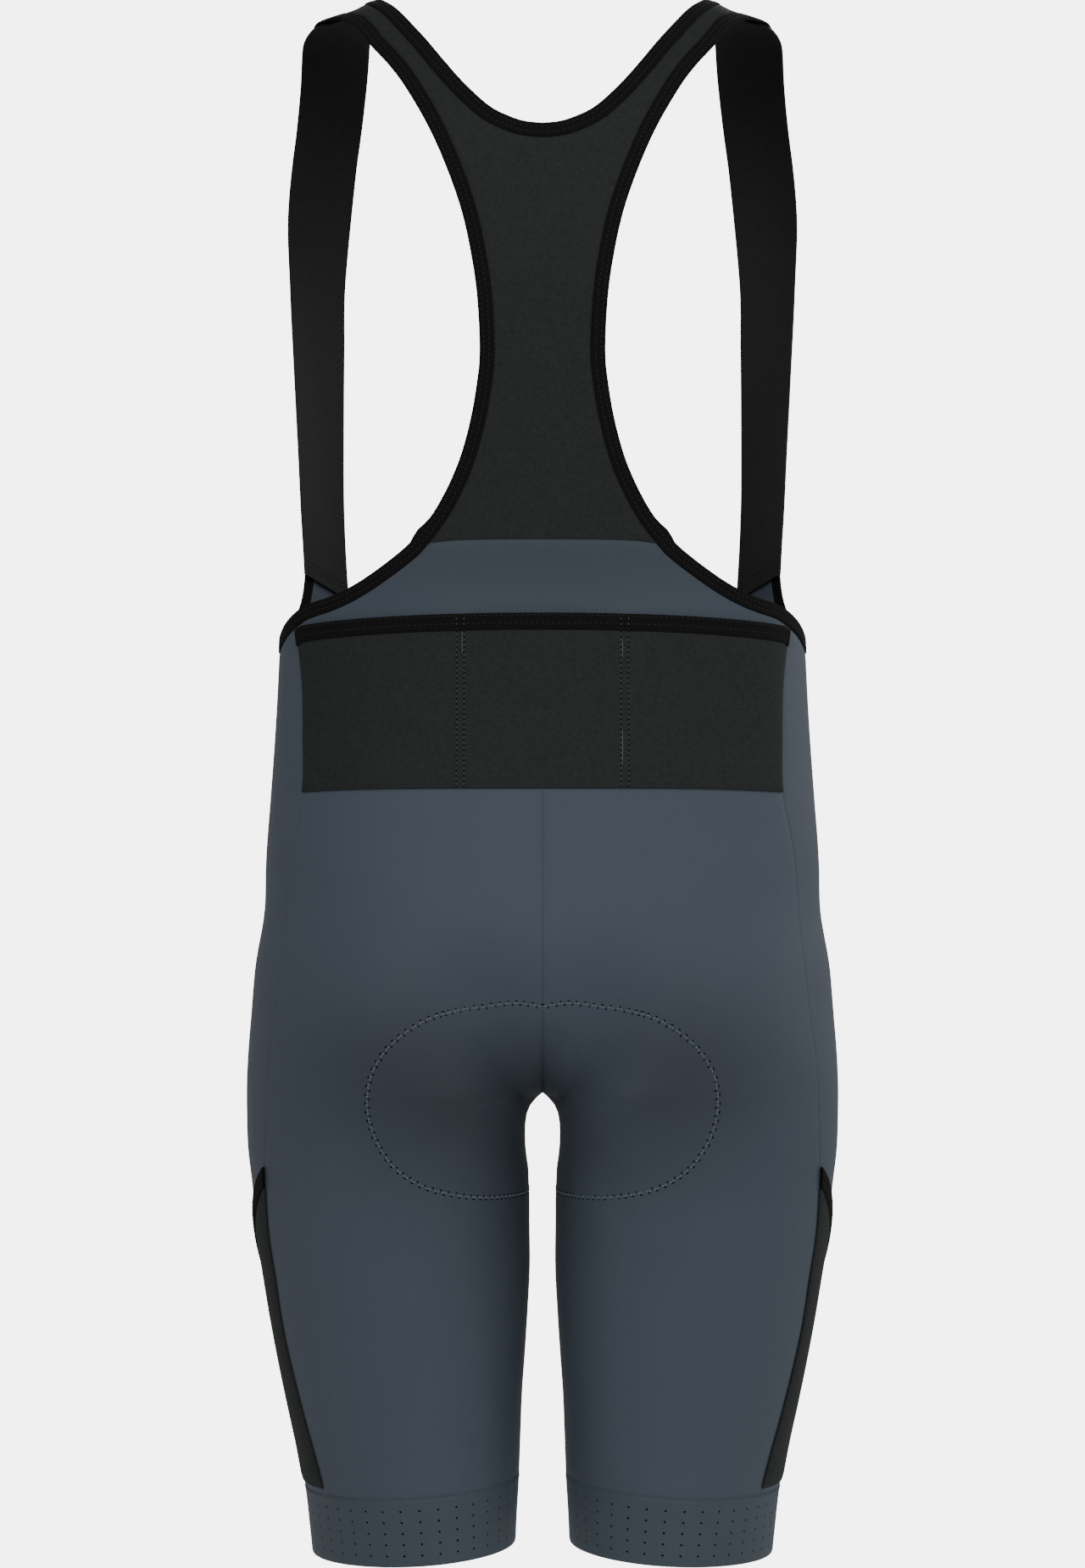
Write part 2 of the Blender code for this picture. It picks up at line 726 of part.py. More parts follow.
def make_back(shares, pocket_bottom):
    top_shares = np.linspace(0, 1, BACK_COLUMNS + 1)
    top = np.interp(top_shares, shares, pocket_bottom)
    places = []
    for height in [top] + body_levels():
        heights = np.broadcast_to(height, top.shape)
        backs = np.array([SIDE_SEAMS(z)[0] for z in heights])
        places.append(np.column_stack([backs + top_shares * (1 - backs), heights]))
    cloth = pulled(
        patch(BODY, np.array(places)), "first_row", "last_row", "first_column", "last_column"
    )
    pair("back", clear_of_middle(cloth), 0.0, PANEL_THICK, BLUE_GREY)


def make_front(lines):
    top = np.vstack([lines["front_side_top"][:-1], lines["front_top"]])
    top_seam = SIDE_SEAMS(top[0, 1])[1]
    shares = top[:, 0] / top_seam
    upper = np.linspace(top[:, 1], np.full(len(top), WAIST_ROWS[0]), FRONT_ROWS_ABOVE + 1)
    places = []
    for heights in list(upper[:-1]) + [np.full(len(top), z) for z in body_levels()]:
        seams = np.array([SIDE_SEAMS(z)[1] for z in heights])
        places.append(np.column_stack([shares * seams, heights]))
    places[0][:, 0] = top[:, 0]
    cloth = pulled(
        patch(BODY, np.array(places)), "first_row", "last_row", "first_column", "last_column"
    )
    pair("front", clear_of_middle(cloth), 0.0, PANEL_THICK, BLUE_GREY)


def make_side(lines):
    """The side panel. Its rows slant to follow the pocket's mouth, and the pocket lies on its points."""
    top = lines["side_top"]
    ends = top[0, 0], top[-1, 0]
    shares = (ends[0] - top[:, 0]) / (ends[0] - ends[1])  # 0 at the back seam, 1 at the front
    mouth = MOUTH_BACK - MOUTH_FALL * shares**MOUTH_CURVE
    trim_bottom = mouth - TRIM_WIDTH / math.cos(math.radians(MOUTH_SLANT))
    bottom = np.full(len(top), SIDE_POCKET_BOTTOM)
    rows = list(np.linspace(top[:, 1], mouth, SIDE_ROWS + 1))
    mouth_row = len(rows) - 1
    rows += list(np.linspace(trim_bottom, bottom, SIDE_POCKET_ROWS + 1))
    pocket_end = len(rows)
    rows.append(np.full(len(top), GRIPPER_SEAM))
    places = []
    for heights in rows:
        seams = np.array([SIDE_SEAMS(z) for z in heights])
        places.append(np.column_stack([seams[:, 0] + shares * (seams[:, 1] - seams[:, 0]), heights]))
    places = np.array(places)
    places[0, :, 0] = top[:, 0]
    cloth = pulled(patch(BODY, places), "first_row", "last_row")
    cloth = pulled(cloth, "first_column", "last_column", by=SIDE_PULL)
    pair("side", cloth, 0.0, PANEL_THICK, BLUE_GREY)

    trim = patch(BODY, places[mouth_row : mouth_row + 2])
    trim = pulled(trim, "last_row", "first_column", "last_column")
    pair("side_pocket_binding", trim, POCKET_TRIM_OUT, TRIM_THICK, BLACK_TRIM)
    pocket = patch(BODY, places[mouth_row + 1 : pocket_end])
    pocket = pulled(pocket, "first_row", "first_column", "last_column")
    pair("side_pocket", pocket, POCKET_OUT, POCKET_THICK, DARK_MESH)


def make_gripper():
    around = np.linspace(0, 1, GRIPPER_COLUMNS + 1)
    down = np.linspace(GRIPPER_SEAM, HEM, GRIPPER_ROWS + 1)
    places = np.array([[(u, z) for u in around] for z in down])
    cloth = pulled(patch(BODY, places), "first_row")
    cloth.points[:, -1] = cloth.points[:, 0]
    cloth.normals[:, -1] = cloth.normals[:, 0]
    pair("gripper", cloth, 0.0, GRIPPER_THICK, PERFORATED)


def make_straps():
    middle = edge(OVER, STRAP_LINE, EDGE_STEP)
    length = length_of(OVER, middle)
    from_end = length * (1 - np.linspace(0, 1, len(middle)))
    skew = STRAP_END_SKEW * np.clip(1 - from_end / STRAP_SKEW_LENGTH, 0, 1)
    widths = np.array([STRAP_WIDTH(v)[0] for v in middle[:, 1]])
    columns = []
    for side in np.linspace(-0.5, 0.5, STRAP_COLUMNS + 1):
        column = beside(OVER, middle, side * widths)
        inward = 1 if column[0, 0] < middle[0, 0] else -1
        column[:, 1] += inward * abs(side) * skew
        columns.append(column)
    pair("strap", patch(OVER, np.stack(columns, axis=1)), STRAP_OUT, STRAP_THICK, BLACK_ELASTIC)


def main():
    for old in list(bpy.data.objects):
        bpy.data.objects.remove(old)
    lines = make_lines()
    make_trims(lines)
    seam = make_upper_back(lines)
    shares, pocket_bottom = make_yoke_and_pocket(lines, seam)
    make_back(shares, pocket_bottom)
    make_side(lines)
    make_front(lines)
    make_gripper()
    make_straps()


main()
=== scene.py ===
# Cycling bib shorts as worn: fine cloth shells, bindings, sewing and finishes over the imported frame.
# +X is the wearer's right, +Y the front and +Z up. Sizes are in millimetres, and meshes are made in metres.
import math
from collections import namedtuple

import bpy
import numpy as np
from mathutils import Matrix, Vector
from mathutils.bvhtree import BVHTree


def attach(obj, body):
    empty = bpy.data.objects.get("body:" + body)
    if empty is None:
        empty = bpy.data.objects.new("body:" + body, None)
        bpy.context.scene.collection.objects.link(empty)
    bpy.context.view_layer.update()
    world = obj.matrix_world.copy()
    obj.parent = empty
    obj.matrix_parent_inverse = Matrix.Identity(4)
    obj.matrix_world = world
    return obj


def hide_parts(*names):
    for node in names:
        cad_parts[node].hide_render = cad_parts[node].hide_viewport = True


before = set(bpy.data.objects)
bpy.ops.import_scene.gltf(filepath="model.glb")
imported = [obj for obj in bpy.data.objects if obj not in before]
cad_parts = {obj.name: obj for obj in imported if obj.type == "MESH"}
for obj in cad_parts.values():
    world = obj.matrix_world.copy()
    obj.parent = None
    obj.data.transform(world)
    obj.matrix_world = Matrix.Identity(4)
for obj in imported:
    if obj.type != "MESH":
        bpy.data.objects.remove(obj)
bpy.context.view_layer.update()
mm = 0.001
print("frame loaded with", len(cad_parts), "nodes")


# Camera, floor and light come first
view = {"distance": 2250.0, "height": -464.5, "lens": 85.0}
studio = {
    "floorHeight": -1380.0,
    "floorRadius": 1650.0,
    "floorColor": (0.80, 0.80, 0.80),
    "floorGlow": 3.3,
    "ambient": 0.36,
    "ambientColor": (1.0, 1.0, 1.0),
    "backdrop": 5.5,
    # name: place, aim, size and watts
    "lamps": {
        "keyLamp": ((-800, -2250, 900), (0, 0, -430), 1600, 26),
        "fillLamp": ((1100, -1900, 100), (0, 0, -500), 1400, 10),
        "sideLamp": ((1700, -900, 500), (60, 0, -520), 900, 5),
        "rimLamp": ((1600, 700, 50), (60, 0, -560), 700, 5.5),
        "frontLamp": ((300, 2300, 700), (0, 0, -450), 1600, 20),
    },
}


def addObject(name, data):
    made = bpy.data.objects.new(name, data)
    bpy.context.scene.collection.objects.link(made)
    return made


def makeCamera():
    camera = addObject("camera", bpy.data.cameras.new("camera"))
    camera.data.lens = view["lens"]
    camera.location = (0, -view["distance"] * mm, view["height"] * mm)
    camera.rotation_euler = (math.pi / 2, 0, 0)
    bpy.context.scene.camera = camera


def makeLamps():
    for name, (place, aim, size, watts) in studio["lamps"].items():
        lamp = addObject(name, bpy.data.lights.new(name, "AREA"))
        lamp.data.size = size * mm
        lamp.data.energy = watts
        away = np.array(place, float) - np.array(aim, float)
        flat = math.hypot(away[0], away[1])
        lamp.location = np.array(place) * mm
        lamp.rotation_euler = (math.atan2(flat, away[2]), 0, math.atan2(away[1], away[0]) + math.pi / 2)


def makeBackground():
    world = bpy.data.worlds.new("studio")
    bpy.context.scene.world = world
    world.use_nodes = True
    nodes, links = world.node_tree.nodes, world.node_tree.links
    nodes.clear()
    ambient, backdrop = nodes.new("ShaderNodeBackground"), nodes.new("ShaderNodeBackground")
    ambient.inputs["Color"].default_value = (*studio["ambientColor"], 1)
    ambient.inputs["Strength"].default_value = studio["ambient"]
    backdrop.inputs["Color"].default_value = (1, 1, 1, 1)
    backdrop.inputs["Strength"].default_value = studio["backdrop"]
    path, mix = nodes.new("ShaderNodeLightPath"), nodes.new("ShaderNodeMixShader")
    links.new(path.outputs["Is Camera Ray"], mix.inputs[0])
    links.new(ambient.outputs[0], mix.inputs[1])
    links.new(backdrop.outputs[0], mix.inputs[2])
    links.new(mix.outputs[0], nodes.new("ShaderNodeOutputWorld").inputs["Surface"])


def makeFloor():
    radius = studio["floorRadius"] * mm
    rim = [(radius * math.cos(a), radius * math.sin(a), 0) for a in np.linspace(0, 2 * math.pi, 97)[:-1]]
    mesh = bpy.data.meshes.new("floor")
    mesh.from_pydata(rim, [], [list(range(len(rim)))])
    floor = addObject("floor", mesh)
    floor.location.z = studio["floorHeight"] * mm
    paint = bpy.data.materials.new("floorPaint")
    paint.use_nodes = True
    shader = paint.node_tree.nodes["Principled BSDF"]
    shader.inputs["Base Color"].default_value = (*studio["floorColor"], 1)
    shader.inputs["Roughness"].default_value = 0.9
    # The floor looks paler than its light would make it, and the garment isn't lit by that.
    shader.inputs["Emission Strength"].default_value = studio["floorGlow"]
    path = paint.node_tree.nodes.new("ShaderNodeLightPath")
    paint.node_tree.links.new(path.outputs["Is Camera Ray"], shader.inputs["Emission Color"])
    mesh.materials.append(paint)


makeCamera()
makeLamps()
makeBackground()
makeFloor()
print("camera, lamps and floor made")


# The body's form, from tables of sections
class Table:  # rows of named columns keyed by the first, read between the rows along smooth curves
    def __init__(self, columns, *rows):
        ordered = np.array(sorted(rows), float)
        if ordered.shape[1] != len(columns.split()):
            raise ValueError("each row needs the columns " + columns)
        self.keys = ordered[:, 0]
        self.values = ordered[:, 1:]
        self.slopes = np.gradient(self.values, self.keys, axis=0)

    def __call__(self, key):  # one array for each column after the first
        key = np.clip(key, self.keys[0], self.keys[-1])
        row = np.clip(np.searchsorted(self.keys, key) - 1, 0, len(self.keys) - 2)
        span = (self.keys[row + 1] - self.keys[row])[..., None]
        t = (key - self.keys[row])[..., None] / span
        found = (
            (2 * t**3 - 3 * t**2 + 1) * self.values[row]
            + (t**3 - 2 * t**2 + t) * self.slopes[row] * span
            + (3 * t**2 - 2 * t**3) * self.values[row + 1]
            + (t**3 - t**2) * self.slopes[row + 1] * span
        )
        return np.moveaxis(found, -1, 0)


form = {
    "chest": -125.0,
    "shoulderRadius": 105.0,
    "shoulderSquare": 2.25,
    "blendTop": -540.0,
    "crotch": -651.0,
    "hemTilt": 0.066,  # the hem rises to the inside of the leg
    "hemTiltLength": 250.0,
    "legTwist": 0.10,  # the outside of the leg turns to the front
    "legTwistLength": 180.0,
    "arcShare": 0.06,  # near the inside seam the torso turns into the leg on an arc
    "arcEase": 0.36,
    "pullPower": 4,
}
# A square of 2 is an ellipse, and more is a fuller corner.
torso = Table(
    "z half back front squareBack squareFront",
    (-100, 184.0, 105, 104, 2.40, 4.2),
    (-125, 183.0, 107, 106, 2.40, 4.0),
    (-160, 179.0, 107, 108, 2.40, 3.3),
    (-205, 169.0, 102, 109, 2.40, 2.9),
    (-255, 160.0, 95, 109, 2.35, 2.75),
    (-310, 157.0, 88, 109, 2.30, 2.4),
    (-375, 159.3, 86, 108, 2.30, 2.2),
    (-425, 161.7, 90, 105, 2.30, 2.2),
    (-475, 165.2, 98, 101, 2.30, 2.2),
    (-514, 168.0, 107, 97, 2.25, 2.2),
    (-540, 168.6, 114, 95, 2.20, 2.2),
    (-578, 174.9, 121, 93, 2.20, 2.2),
    (-604, 176.8, 123, 92, 2.20, 2.2),
    (-630, 178.6, 122, 91, 2.20, 2.2),
    (-656, 179.4, 118, 90, 2.20, 2.2),
)
# The line along the top of the shoulder steps down where the arm's mesh meets its armhole trim.
ridge = Table(
    "x height",
    (0, 36.0), (60, 19.2), (90, 11.3), (99, 9.4), (106, 7.3), (112, 4.3), (120, 1.4), (129, -1.5),
    (142, -5.4), (165, -12.5),
)
leg = Table(
    "z inner centre outer back front square",
    (-540, 10.5, 52.0, 168.6, 114.0, 93.0, 2.2),
    (-604, 10.5, 54.0, 176.8, 118.5, 92.0, 2.2),
    (-651, 10.5, 57.0, 179.4, 114.4, 90.4, 2.2),
    (-668, 11.0, 60.0, 179.2, 111.4, 89.6, 2.2),
    (-681, 11.1, 63.0, 178.9, 108.2, 88.8, 2.2),
    (-707, 8.2, 71.0, 176.0, 100.5, 87.0, 2.2),
    (-733, 7.8, 79.0, 173.3, 94.5, 85.0, 2.2),
    (-759, 7.6, 84.0, 169.0, 89.0, 83.0, 2.2),
    (-784, 8.8, 86.0, 164.9, 84.5, 81.0, 2.2),
    (-810, 10.4, 85.5, 160.0, 80.0, 79.0, 2.2),
    (-836, 12.2, 83.5, 154.6, 75.5, 77.0, 2.15),
    (-862, 13.2, 81.3, 149.0, 72.5, 74.5, 2.05),
    (-887, 14.1, 79.2, 144.6, 71.0, 72.0, 1.95),
    (-913, 15.6, 77.0, 141.6, 68.0, 70.0, 1.97),
    (-935, 16.5, 76.0, 139.4, 66.5, 68.5, 1.97),
)
crotchPull = Table("z pull", (-651, 10.5), (-656, 4.9), (-661, 1.9), (-668, 0.3), (-675, 0.0))
legSpread = Table("z spread", (-540, 0.64), (-651, 0.64), (-700, 0.40), (-760, 0.0), (-800, 0.0))
sideSeams = Table(
    "z back front",
    (-350, 0.572, 0.426), (-373, 0.585, 0.423), (-402, 0.600, 0.420), (-437, 0.611, 0.416),
    (-469, 0.620, 0.413), (-495, 0.614, 0.410), (-523, 0.609, 0.407), (-548, 0.613, 0.403),
    (-578, 0.630, 0.390), (-612, 0.650, 0.365), (-636, 0.656, 0.356), (-663, 0.646, 0.360),
    (-692, 0.622, 0.368), (-707, 0.610, 0.372), (-739, 0.592, 0.385), (-772, 0.588, 0.387),
    (-812, 0.596, 0.383), (-846, 0.602, 0.382), (-886, 0.613, 0.380),
)


def eased(share):
    share = np.clip(share, 0, 1)
    return share**2 * (3 - 2 * share)


def superellipse(alongX, alongY, reachX, reachY, square):
    total = np.abs(alongX / reachX) ** square + np.abs(alongY / reachY) ** square
    return total ** (-1 / square)


def torsoPoint(u, z):
    half, back, front, squareBack, squareFront = torso(z)
    sine, cosine = np.sin(np.pi * u), np.cos(np.pi * u)
    isFront = cosine >= 0
    reach = superellipse(
        sine, cosine, half, np.where(isFront, front, back), np.where(isFront, squareFront, squareBack)
    )
    return np.stack([reach * sine, reach * cosine, z], axis=-1)


def legPoint(u, z):
    inner, centre, outer, back, front, square = leg(z)
    across = 1 - np.abs(2 * u - 1)  # 0 at the inside seam, 1 at the outside of the leg
    turn = np.pi * (across + legSpread(z)[0] * across * (1 - across))
    sine, cosine = np.sin(turn) * np.where(u <= 0.5, 1, -1), -np.cos(turn)
    width = np.where(cosine >= 0, outer - centre, centre - inner)
    reach = superellipse(cosine, sine, width, np.where(sine >= 0, front, back), square)
    pull = np.where(z >= form["crotch"], inner, crotchPull(z)[0])
    x = centre + reach * cosine - pull * np.maximum(0, -cosine) ** form["pullPower"]
    twist = form["legTwist"] * eased((form["crotch"] - z) / form["legTwistLength"])
    return np.stack([x, reach * sine + twist * (x - (inner + outer) / 2), z], axis=-1)


def bodyPoint(places):  # the torso turns into the leg along an arc at the crotch, more softly away from it
    u, z = np.moveaxis(np.asarray(places, float), -1, 0)
    down = np.clip((form["blendTop"] - z) / (form["blendTop"] - form["crotch"]), 0, 1)
    away = eased((1 - np.abs(2 * u - 1) - form["arcShare"]) / form["arcEase"])
    share = (1 - away) * (1 - np.sqrt(1 - down**2)) + away * eased(down)
    point = (1 - share)[..., None] * torsoPoint(u, z) + share[..., None] * legPoint(u, z)
    inner, _, outer = leg(z)[:3]
    tilt = form["hemTilt"] * eased((form["crotch"] - z) / form["hemTiltLength"])
    point[..., 2] -= tilt * (point[..., 0] - (inner + outer) / 2)
    return point


def depthAt(x, z, front):
    half, back, frontReach, squareBack, squareFront = torso(z)
    reach = np.where(front, frontReach, back)
    square = np.where(front, squareFront, squareBack)
    return reach * np.maximum(0, 1 - np.minimum(1, np.abs(x) / half) ** square) ** (1 / square)


def overPoint(places):  # x across, and v up the back, over the shoulder and down the front
    x, v = np.moveaxis(np.asarray(places, float), -1, 0)
    chest, radius = form["chest"], form["shoulderRadius"]
    overEnd = chest + math.pi * radius
    turn = np.clip((v - chest) / radius, 0, math.pi)
    forward, up = -np.cos(turn), np.sin(turn)
    deep = depthAt(x, np.full_like(x, chest), forward > 0)
    reach = superellipse(forward, up, deep, ridge(np.abs(x))[0] - chest, form["shoulderSquare"])
    over = np.stack([x, reach * forward, chest + reach * up], axis=-1)
    below = np.where(v <= chest, v, chest - (v - overEnd))
    isFront = v >= overEnd
    straight = np.stack([x, np.where(isFront, 1, -1) * depthAt(x, below, isFront), below], axis=-1)
    return np.where(((v <= chest) | isFront)[..., None], straight, over)


Surface = namedtuple("Surface", "point outward steps limit")
body = Surface(bodyPoint, -1, (0.002, 0.4), 1.0)
over = Surface(overPoint, 1, (0.4, 0.4), math.inf)


def unit(vectors):
    return vectors / np.linalg.norm(vectors, axis=-1, keepdims=True)


def slopesAt(surface, places):
    found = []
    for axis in (0, 1):
        ends = []
        for sign in (-1, 1):
            moved = np.array(places, float)
            moved[..., axis] += sign * surface.steps[axis]
            if axis == 0 and surface.limit == 1.0:
                moved[..., 0] = np.clip(moved[..., 0], 0.0, 1.0)
            ends.append((moved[..., axis], surface.point(moved)))
        found.append((ends[1][1] - ends[0][1]) / (ends[1][0] - ends[0][0])[..., None])
    return found


def normalAt(surface, places):
    return surface.outward * unit(np.cross(*slopesAt(surface, places)))


def levelled(points, normals):  # on the middle plane the cloth's outward direction stays in the plane
    onMiddle = np.abs(points[..., 0]) < 1e-6
    normals = normals.copy()
    normals[onMiddle, 0] = 0.0
    normals[onMiddle, 2] -= 1e-4
    return unit(normals)


# Lines over the surfaces
def curveThrough(knots, perSpan=24):
    knots = np.array(knots, float)
    padded = np.vstack([2 * knots[0] - knots[1], knots, 2 * knots[-1] - knots[-2]])
    t = (np.arange(perSpan) / perSpan)[:, None]
    found = []
    for before, start, end, after in zip(padded, padded[1:], padded[2:], padded[3:]):
        found.append(
            start
            + t * (end - before) / 2
            + t**2 * (before - 2.5 * start + 2 * end - after / 2)
            + t**3 * (1.5 * (start - end) + (after - before) / 2)
        )
    return np.vstack(found + [knots[-1:]])


def travelled(points):  # the distance along a row of points
    return np.concatenate([[0], np.cumsum(np.linalg.norm(np.diff(points, axis=0), axis=1))])


def spaced(surface, line, count):
    lengths = travelled(surface.point(line))
    wanted = np.linspace(0, lengths[-1], count)
    return np.column_stack([np.interp(wanted, lengths, line[:, axis]) for axis in (0, 1)])


def edgeLine(surface, knots, step):
    line = curveThrough(knots)
    return spaced(surface, line, round(travelled(surface.point(line))[-1] / step) + 1)


def beside(surface, line, width):  # the line that runs beside another over the cloth
    along = np.gradient(surface.point(line), axis=0)
    across = unit(np.cross(along, normalAt(surface, line)))
    slopes = np.stack(slopesAt(surface, line), axis=-1)
    aims = across * np.broadcast_to(width, len(line))[:, None]
    moves = [np.linalg.lstsq(slope, aim, rcond=None)[0] for slope, aim in zip(slopes, aims)]
    return line + np.array(moves)


def split(line, measure):  # both parts get the place where measure changes sign
    values = measure(line)
    for i, (before, after) in enumerate(zip(values, values[1:])):
        if before * after <= 0 and before != after:
            cut = line[i] + (line[i + 1] - line[i]) * before / (before - after)
            return np.vstack([line[: i + 1], cut]), np.vstack([cut, line[i + 1 :]])
    raise ValueError("the line isn't cut")


def uAtBack(x, z):
    return np.arctan2(x, -depthAt(x, z, False)) / np.pi


# Cloth: grids of points with outward directions and their places on the flat cut
Cloth = namedtuple("Cloth", "points normals flat")


def sideFirst(grid, side):  # turned so that the side is the first row
    turned = grid if side.endswith("Row") else grid.swapaxes(0, 1)
    return turned if side.startswith("first") else turned[::-1]


def turnedBack(grid, side):
    turned = grid if side.startswith("first") else grid[::-1]
    return turned if side.endswith("Row") else turned.swapaxes(0, 1)


def spread(places, side, count):
    # Lines between the first two along a side, closer to the seam, so that its roll has a form.
    shares = (np.arange(1, count + 1) / (count + 1)) ** 1.6
    turned = sideFirst(places, side)
    between = [turned[0] + share * (turned[1] - turned[0]) for share in shares]
    return turnedBack(np.concatenate([turned[:1], between, turned[1:]]), side)


def patch(surface, places, seams=(), count=3):
    for side in seams:
        places = spread(places, side, count)
    points = surface.point(places)
    if surface is over:
        flat = places.copy()
    else:
        steps = np.linalg.norm(np.diff(points, axis=1), axis=2)
        across = np.concatenate([np.zeros((len(points), 1)), np.cumsum(steps, axis=1)], axis=1)
        flat = np.stack([across - across[:, -1:], points[:, :, 2]], axis=-1)
    return Cloth(points, levelled(points, normalAt(surface, places)), flat)


def eachPart(act, *cloths):  # points, normals and flat places in turn
    return Cloth(*(act(*parts) for parts in zip(*cloths)))


def joined(*cloths):
    return eachPart(lambda *parts: np.concatenate(parts), *cloths)


def mirrored(cloth):
    flip = np.array([-1, 1, 1])
    return Cloth(cloth.points * flip, cloth.normals * flip, cloth.flat * flip[:2])


def bothHalves(cloth):  # one piece from a half whose last column lies on the middle plane
    other = mirrored(cloth)
    return eachPart(lambda a, b: np.concatenate([a, b[:, -2::-1]], axis=1), cloth, other)


def twoSides(cloth):  # a right-hand piece and its mirror image
    return ("right", cloth, 1), ("left", mirrored(cloth), -1)


def fromSide(cloth, side):  # how far each point is from one side, over the cloth
    turned = sideFirst(cloth.points, side)
    steps = np.linalg.norm(np.diff(turned, axis=0), axis=2)
    lengths = np.concatenate([np.zeros((1, turned.shape[1])), np.cumsum(steps, axis=0)])
    return turnedBack(lengths, side)


def rolled(cloth, sides, depth=0.55, reach=1.5):  # how far the cloth dips to its seams
    dip = np.zeros(cloth.points.shape[:2])
    for side in sides:
        dip = np.maximum(dip, depth * np.exp(-((fromSide(cloth, side) / reach) ** 2)))
    return -dip


def gridFaces(rows, columns):
    index = np.arange(rows * columns).reshape(rows, columns)
    corners = (index[:-1, :-1], index[:-1, 1:], index[1:, 1:], index[1:, :-1])
    return np.stack([corner.ravel() for corner in corners], axis=1)


def merged(points, faces):  # points that coincide become one
    _, first, back = np.unique(np.round(points, 4) + 0.0, axis=0, return_index=True, return_inverse=True)
    return first, back.reshape(-1)[faces]


def wall(name, cloth, outer, inner, finish, faces=None, side=0):
    # A closed shell between two offsets from the cloth's points. Edges that one face uses get a rim.
    # A side of 1 keeps a right half, and one of -1 a left half, from crossing the middle plane.
    shape = cloth.points.shape[:2]
    if faces is None:
        faces = gridFaces(*shape)
    points, normals = cloth.points.reshape(-1, 3), cloth.normals.reshape(-1, 3)
    outerBy = np.broadcast_to(outer, shape).reshape(-1, 1)
    innerBy = np.broadcast_to(inner, shape).reshape(-1, 1)
    first, faces = merged(points, faces)
    top = (points + outerBy * normals)[first]
    under = (points + innerBy * normals)[first]
    for layer in (top, under) if side else ():
        layer[:, 0] = side * np.maximum(side * layer[:, 0], 0)
    flat = cloth.flat.reshape(-1, 2)[first]
    count = len(top)
    starts, ends = faces.ravel(), np.roll(faces, -1, axis=1).ravel()
    keys = np.minimum(starts, ends) * count + np.maximum(starts, ends)
    _, which, uses = np.unique(keys, return_inverse=True, return_counts=True)
    rim = uses[which.reshape(-1)] == 1
    a, b = starts[rim], ends[rim]
    rims = np.stack([b, a, a + count, b + count], axis=1)
    allFaces = np.vstack([faces, (faces + count)[:, [0, 3, 2, 1]], rims])
    allPoints = np.vstack([top, under])
    corner = allPoints[faces[0]]
    if np.dot(np.cross(corner[1] - corner[0], corner[2] - corner[0]), normals[first][faces[0][0]]) < 0:
        allFaces = allFaces[:, ::-1]
    made = meshFrom(name, allPoints, allFaces, finish, np.vstack([flat, flat]))
    made.data.set_sharp_from_angle(angle=math.radians(50))
    return made


def meshFrom(name, points, faces, finish, flat=None):
    mesh = bpy.data.meshes.new(name)
    mesh.from_pydata((points * mm).tolist(), [], [tuple(int(i) for i in face) for face in faces])
    if flat is not None:
        corners = np.empty(len(mesh.loops), int)
        mesh.loops.foreach_get("vertex_index", corners)
        mesh.uv_layers.new(name="cut").data.foreach_set("uv", flat[corners].astype(float).ravel())
    mesh.shade_smooth()
    mesh.materials.append(finish)
    return addObject(name, mesh)


garment = {}  # every piece by its name
castReach = 8  # how far from a point its cloth is looked for, to either side


def settle(piece, slot, *nodes):
    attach(piece, "root")
    if nodes:
        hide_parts(*nodes)
    garment[piece.name] = piece


def onto(names, points, normals, lift):  # points moved along their directions onto the outside of pieces
    found = points + lift * normals
    trees = []
    for name in names:
        mesh = garment[name].data
        corners = [tuple(face.vertices) for face in mesh.polygons]
        trees.append(BVHTree.FromPolygons([vertex.co for vertex in mesh.vertices], corners))
    for i, (point, normal) in enumerate(zip(points, normals)):
        start, aim = Vector((point + castReach * normal) * mm), Vector(-normal)
        hits = [tree.ray_cast(start, aim, 2 * castReach * mm) for tree in trees]
        hits = [hit for hit in hits if hit[0] is not None]
        if hits:
            found[i] = np.array(min(hits, key=lambda hit: hit[3])[0]) / mm + lift * normal
    return found


# Finishes
class Shade:  # a node's socket that takes part in arithmetic
    def __init__(self, maker, socket):
        self.maker = maker
        self.socket = socket

    def __add__(self, other):
        return self.maker.maths("ADD", self, other)

    def __radd__(self, other):
        return self.maker.maths("ADD", other, self)

    def __sub__(self, other):
        return self.maker.maths("SUBTRACT", self, other)

    def __rsub__(self, other):
        return self.maker.maths("SUBTRACT", other, self)

    def __mul__(self, other):
        return self.maker.maths("MULTIPLY", self, other)

    def __rmul__(self, other):
        return self.maker.maths("MULTIPLY", other, self)

    def __truediv__(self, other):
        return self.maker.maths("DIVIDE", self, other)

    def __pow__(self, other):
        return self.maker.maths("POWER", self, other)

    def __lt__(self, other):
        return self.maker.maths("LESS_THAN", self, other)


